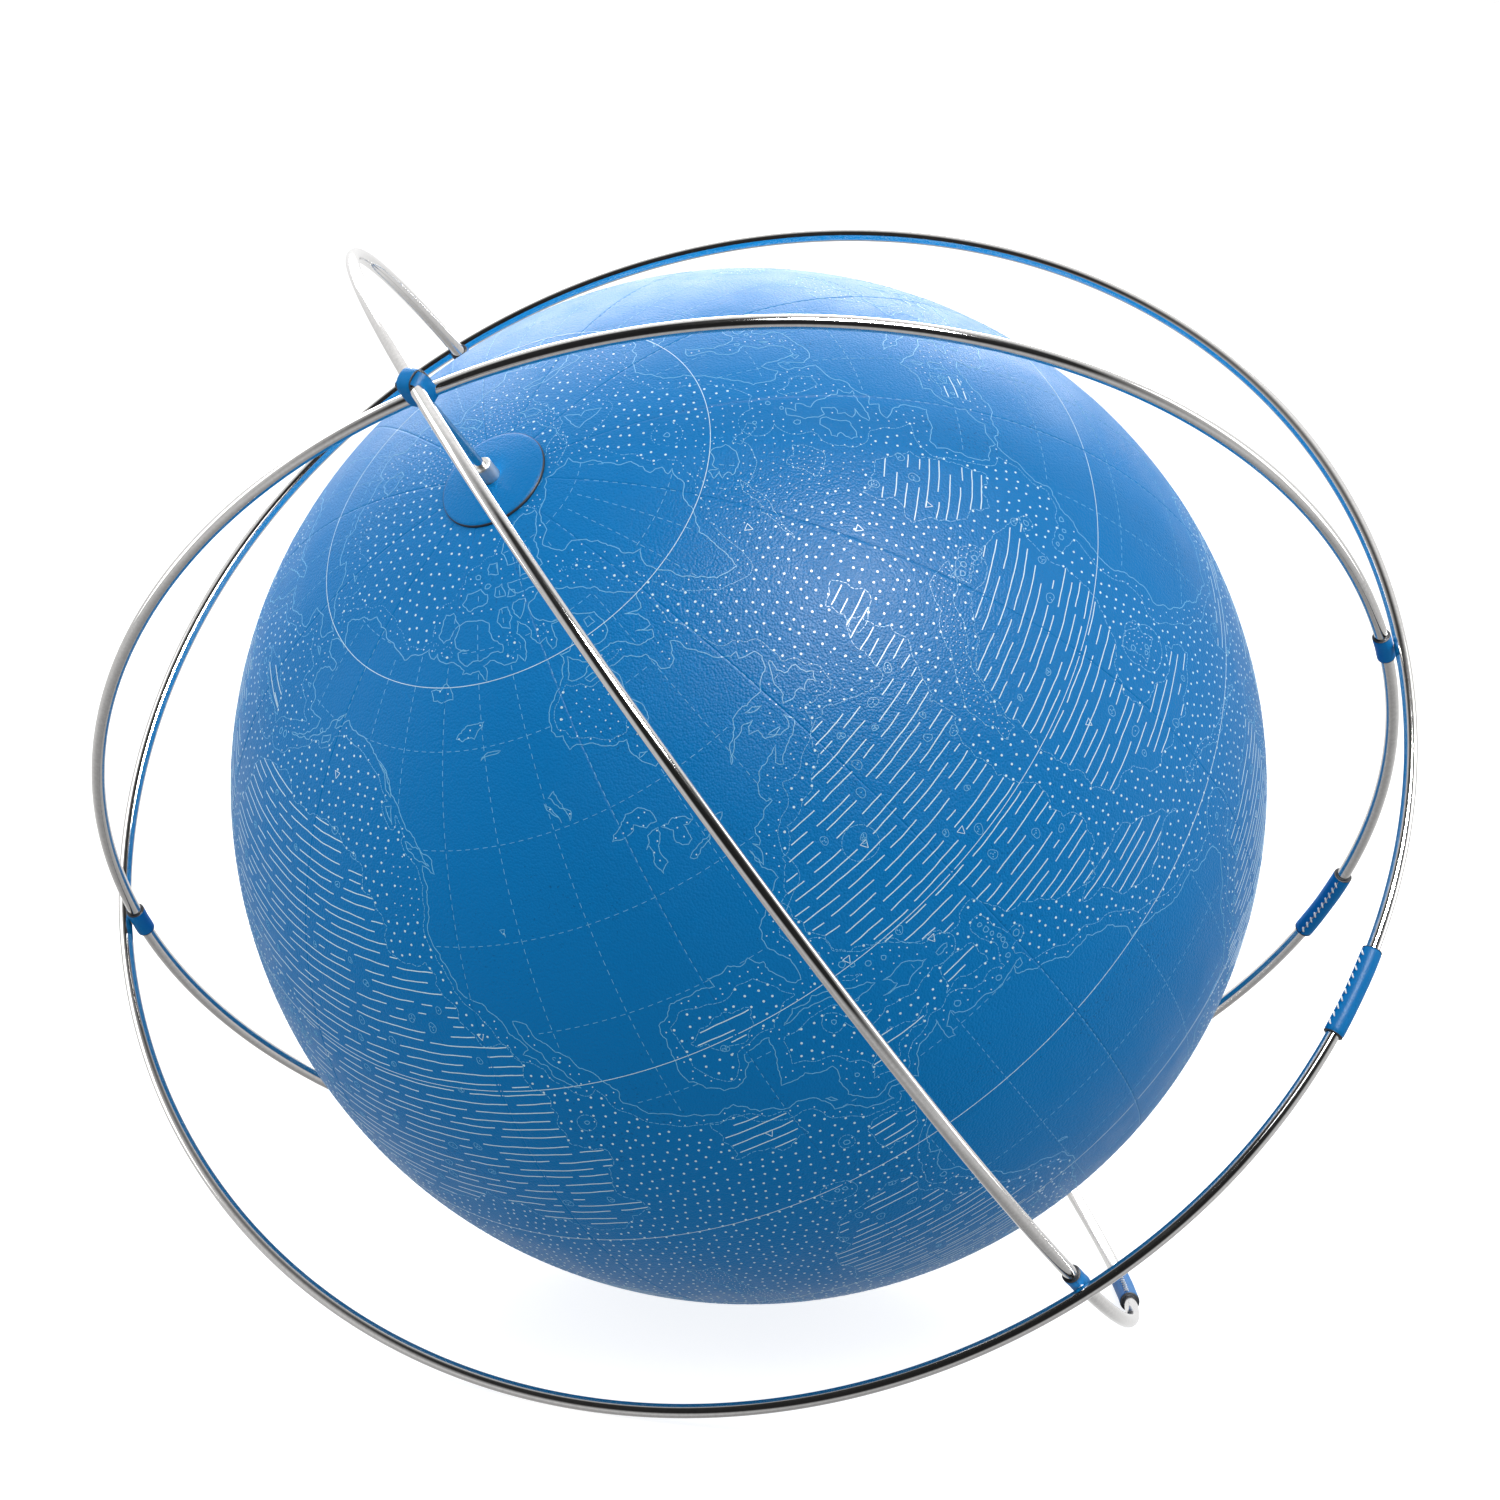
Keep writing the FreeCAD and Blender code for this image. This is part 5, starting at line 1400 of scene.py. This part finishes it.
def draw_dots(world, rng):
    """Dots over the rest of the sea: fine on crests and in lakes, medium on shelves, else large."""
    for kind, pitch, radius, sides in DOTS:
        inks = {"north": Ink(), "south": Ink()}
        lat = -76.0
        while lat < CAP_LATITUDE - 0.6:
            shrink = math.cos(math.radians(lat))
            count = max(6, int(360 * shrink / pitch))
            offset = rng.uniform(0, 1)
            turns = [rng.uniform(-0.2, 0.2) for _ in range(count)]
            lons = -180 + (np.arange(count) + offset + np.array(turns)) * 360 / count
            lats = lat + np.array([rng.uniform(-0.2, 0.2) * pitch for _ in range(count)])
            lons = np.mod(lons + 180, 360) - 180
            sea = world.sea(lons, lats)
            lake = look_up(world.lake, lons, lats)
            basin = look_up(world.basin_all, lons, lats)
            keep = (sea & ~basin) | (lake & (kind == "medium"))
            lons, lats, lake = lons[keep], lats[keep], lake[keep]
            if len(lons):
                gap = world.gap(lons, lats)
                crest = look_up(world.crest, lons, lats) & ~lake
                shelf = (gap < world.shelf_width(lons, lats)) | look_up(world.shallow, lons, lats)
                shelf = (shelf & ~crest) | lake
                chosen = {"large": ~crest & ~shelf, "medium": shelf, "fine": crest}[kind]
                chosen &= (gap > 0.3 + radius * MM / DEGREE) | lake
                ink = inks["north" if lat > 0 else "south"]
                for lon, place, right in zip(lons, lats, chosen):
                    if right:
                        ink.dot(lon, place, radius * MM, sides)
            lat += pitch * 0.9
        for side, ink in inks.items():
            ink.piece(f"map_{kind}_dots_{side}", PRINT_INK)


def draw_soundings():
    """Small triangles, point down, that mark the deepest places."""
    ink = Ink()
    for lon, lat in outline(SOUNDINGS):
        aside, top = SOUNDING_SIZE / math.cos(math.radians(lat)), lat + SOUNDING_SIZE * 0.8
        corners = [(lon - aside, top), (lon + aside, top), (lon, lat - SOUNDING_SIZE), (lon - aside, top)]
        for start, end in zip(corners, corners[1:]):
            line = np.linspace(start, end, 3)
            ink.ribbon(line[:, 0], line[:, 1], SOUNDING_WIDTH)
    ink.piece("map_sounding_marks", PRINT_INK)


def build_map():
    """The printed map. Seamounts come before the dashes, which keep clear of them."""
    world = World()
    rng = random.Random(MAP_SEED + 1)
    draw_lines(world, rng)
    draw_graticule(world)
    scatter_seamounts(world, rng)
    draw_dashes(world, rng)
    draw_dots(world, rng)
    draw_soundings()


# ---------------------------------------------------------------- studio


DIFFUSE_LIGHT = 1.30
GLOSSY_LIGHT = 1.15
# How bright the studio is along a direction: (share of the way from its far side to it, brightness).
GLOW = ((0.0, 0.36), (0.44, 0.37), (0.52, 0.39), (0.75, 0.68), (1.0, 1.0))
HEIGHT = ((0.0, 0.30), (0.12, 0.50), (0.25, 0.74), (0.45, 0.80), (0.57, 0.95), (1.0, 1.0))
FRONT_SIDE = ((0.0, 1.0), (0.60, 1.0), (0.73, 0.50), (0.82, 0.03), (1.0, 0.01))
ASIDE = ((0.0, 0.72), (0.18, 0.86), (0.34, 1.0), (0.66, 1.0), (0.82, 0.86), (1.0, 0.72))


def build_world():
    """Soft white studio: bright overhead, behind and aside, dark towards the camera's side."""
    world = bpy.data.worlds.new("studio")
    bpy.context.scene.world = world
    world.use_nodes = True
    nodes, links = world.node_tree.nodes, world.node_tree.links
    background = nodes["Background"]
    direction = nodes.new("ShaderNodeTexCoord").outputs["Generated"]

    def level(axis, stops):
        towards = nodes.new("ShaderNodeVectorMath")
        towards.operation = "DOT_PRODUCT"
        towards.inputs[1].default_value = axis
        links.new(direction, towards.inputs[0])
        spread = nodes.new("ShaderNodeMapRange")
        spread.inputs["From Min"].default_value = -1.0
        links.new(towards.outputs["Value"], spread.inputs["Value"])
        ramp = nodes.new("ShaderNodeValToRGB")
        links.new(spread.outputs["Result"], ramp.inputs["Fac"])
        elements = ramp.color_ramp.elements
        while len(elements) < len(stops):
            elements.new(0.5)
        for element, (position, value) in zip(elements, stops):
            element.position = position
            element.color = (value, value, value, 1)
        return ramp.outputs["Color"]

    def product(first, second):
        both = nodes.new("ShaderNodeMix")
        both.data_type = "RGBA"
        both.blend_type = "MULTIPLY"
        both.inputs["Factor"].default_value = 1.0
        links.new(first, both.inputs["A"])
        links.new(second, both.inputs["B"])
        return both.outputs["Result"]

    def choose(ray, otherwise, chosen):
        mix = nodes.new("ShaderNodeMixShader")
        links.new(nodes.new("ShaderNodeLightPath").outputs[ray], mix.inputs["Fac"])
        links.new(otherwise, mix.inputs[1])
        links.new(chosen, mix.inputs[2])
        return mix.outputs["Shader"]

    links.new(level((0, 0, 1), GLOW), background.inputs["Color"])
    background.inputs["Strength"].default_value = DIFFUSE_LIGHT
    height = level((0, 0, 1), HEIGHT)
    front = level((0.05, -0.90, 0.43), FRONT_SIDE)
    aside = level((1, 0, 0), ASIDE)
    shine = nodes.new("ShaderNodeBackground")
    links.new(product(product(height, front), aside), shine.inputs["Color"])
    shine.inputs["Strength"].default_value = GLOSSY_LIGHT
    seen = nodes.new("ShaderNodeBackground")
    seen.inputs["Color"].default_value = (1, 1, 1, 1)
    lit = choose("Is Glossy Ray", background.outputs["Background"], shine.outputs["Background"])
    shown = choose("Is Camera Ray", lit, seen.outputs["Background"])
    links.new(shown, nodes["World Output"].inputs["Surface"])


def build_floor():
    """White table that takes the object's shadow and isn't reflected in the object."""
    mesh = bpy.data.meshes.new("floor")
    half = 8.0
    corners = [(-half, -half, 0), (half, -half, 0), (half, half, 0), (-half, half, 0)]
    mesh.from_pydata(corners, [], [(0, 1, 2, 3)])
    shader = Shader("pale_floor", (0.30, 0.30, 0.30), 0.6)
    shader.set("Emission Color", (1, 1, 1, 1))
    shader.set("Emission Strength", 0.86)
    mesh.materials.append(shader.material)
    floor = bpy.data.objects.new("floor", mesh)
    bpy.context.scene.collection.objects.link(floor)
    floor.visible_diffuse = False
    floor.visible_glossy = False


# Name of each lamp, its place, the point it faces, width and height in metres, and watts.
LAMPS = (("top_box", (-0.15, 1.25, 0.95), (0, 0, 0.2), 1.7, 0.9, 27),
         ("left_box", (-1.4, 0.1, 0.5), (0, 0, 0.15), 0.5, 1.3, 5),
         ("right_box", (1.4, 0.1, 0.5), (0, 0, 0.15), 0.5, 1.3, 5),
         ("front_fill", (0.55, -1.5, 1.95), (0, 0, 0.15), 0.9, 0.7, 9),
         ("sheen_box", (0.72, -1.25, 2.05), (0, 0, 0.15), 0.85, 0.7, 220))


def build_lamps():
    """Soft boxes; the sheen box shows only as a highlight on the upper front of the ball."""
    for name, place, aim, wide, tall, power in LAMPS:
        data = bpy.data.lights.new(name, "AREA")
        data.shape = "RECTANGLE"
        data.size = wide
        data.size_y = tall
        data.energy = power
        lamp = bpy.data.objects.new(name, data)
        lamp.location = place
        lamp.rotation_euler = (Vector(aim) - Vector(place)).to_track_quat("-Z", "Y").to_euler()
        bpy.context.scene.collection.objects.link(lamp)
        lamp.visible_diffuse = name != "sheen_box"


def set_view():
    """Plain colours without a film look."""
    view = bpy.context.scene.view_settings
    view.view_transform = "Standard"
    view.look = "None"
    view.exposure = 0.0
    view.gamma = 1.0


def build_camera():
    """A long lens a little above the ball, tipped slightly to its left."""
    distance, elevation, tip = 1.377, math.radians(12.17), math.radians(2.855)
    aside, drop = 0.36 * MM, 10.4 * MM
    data = bpy.data.cameras.new("camera")
    data.sensor_width = 36
    data.lens = 113.5
    data.clip_start = 0.05
    data.clip_end = 40
    camera = bpy.data.objects.new("camera", data)
    back = Vector((0, -math.cos(elevation), math.sin(elevation)))
    up = Vector((0, math.sin(elevation), math.cos(elevation)))
    up = Matrix.Rotation(tip, 3, back) @ up
    right = up.cross(back)
    axes = Matrix((right, up, back)).transposed()
    place = CENTRE + back * distance + up * drop + right * aside
    camera.matrix_world = Matrix.Translation(place) @ axes.to_4x4()
    bpy.context.scene.collection.objects.link(camera)
    bpy.context.scene.camera = camera


build_camera()
build_world()
build_floor()
build_lamps()
set_view()
build_rods()
build_sleeves()
build_wraps()
build_lashings()
build_gores()
build_poles()
dress_plain_nodes()
build_map()
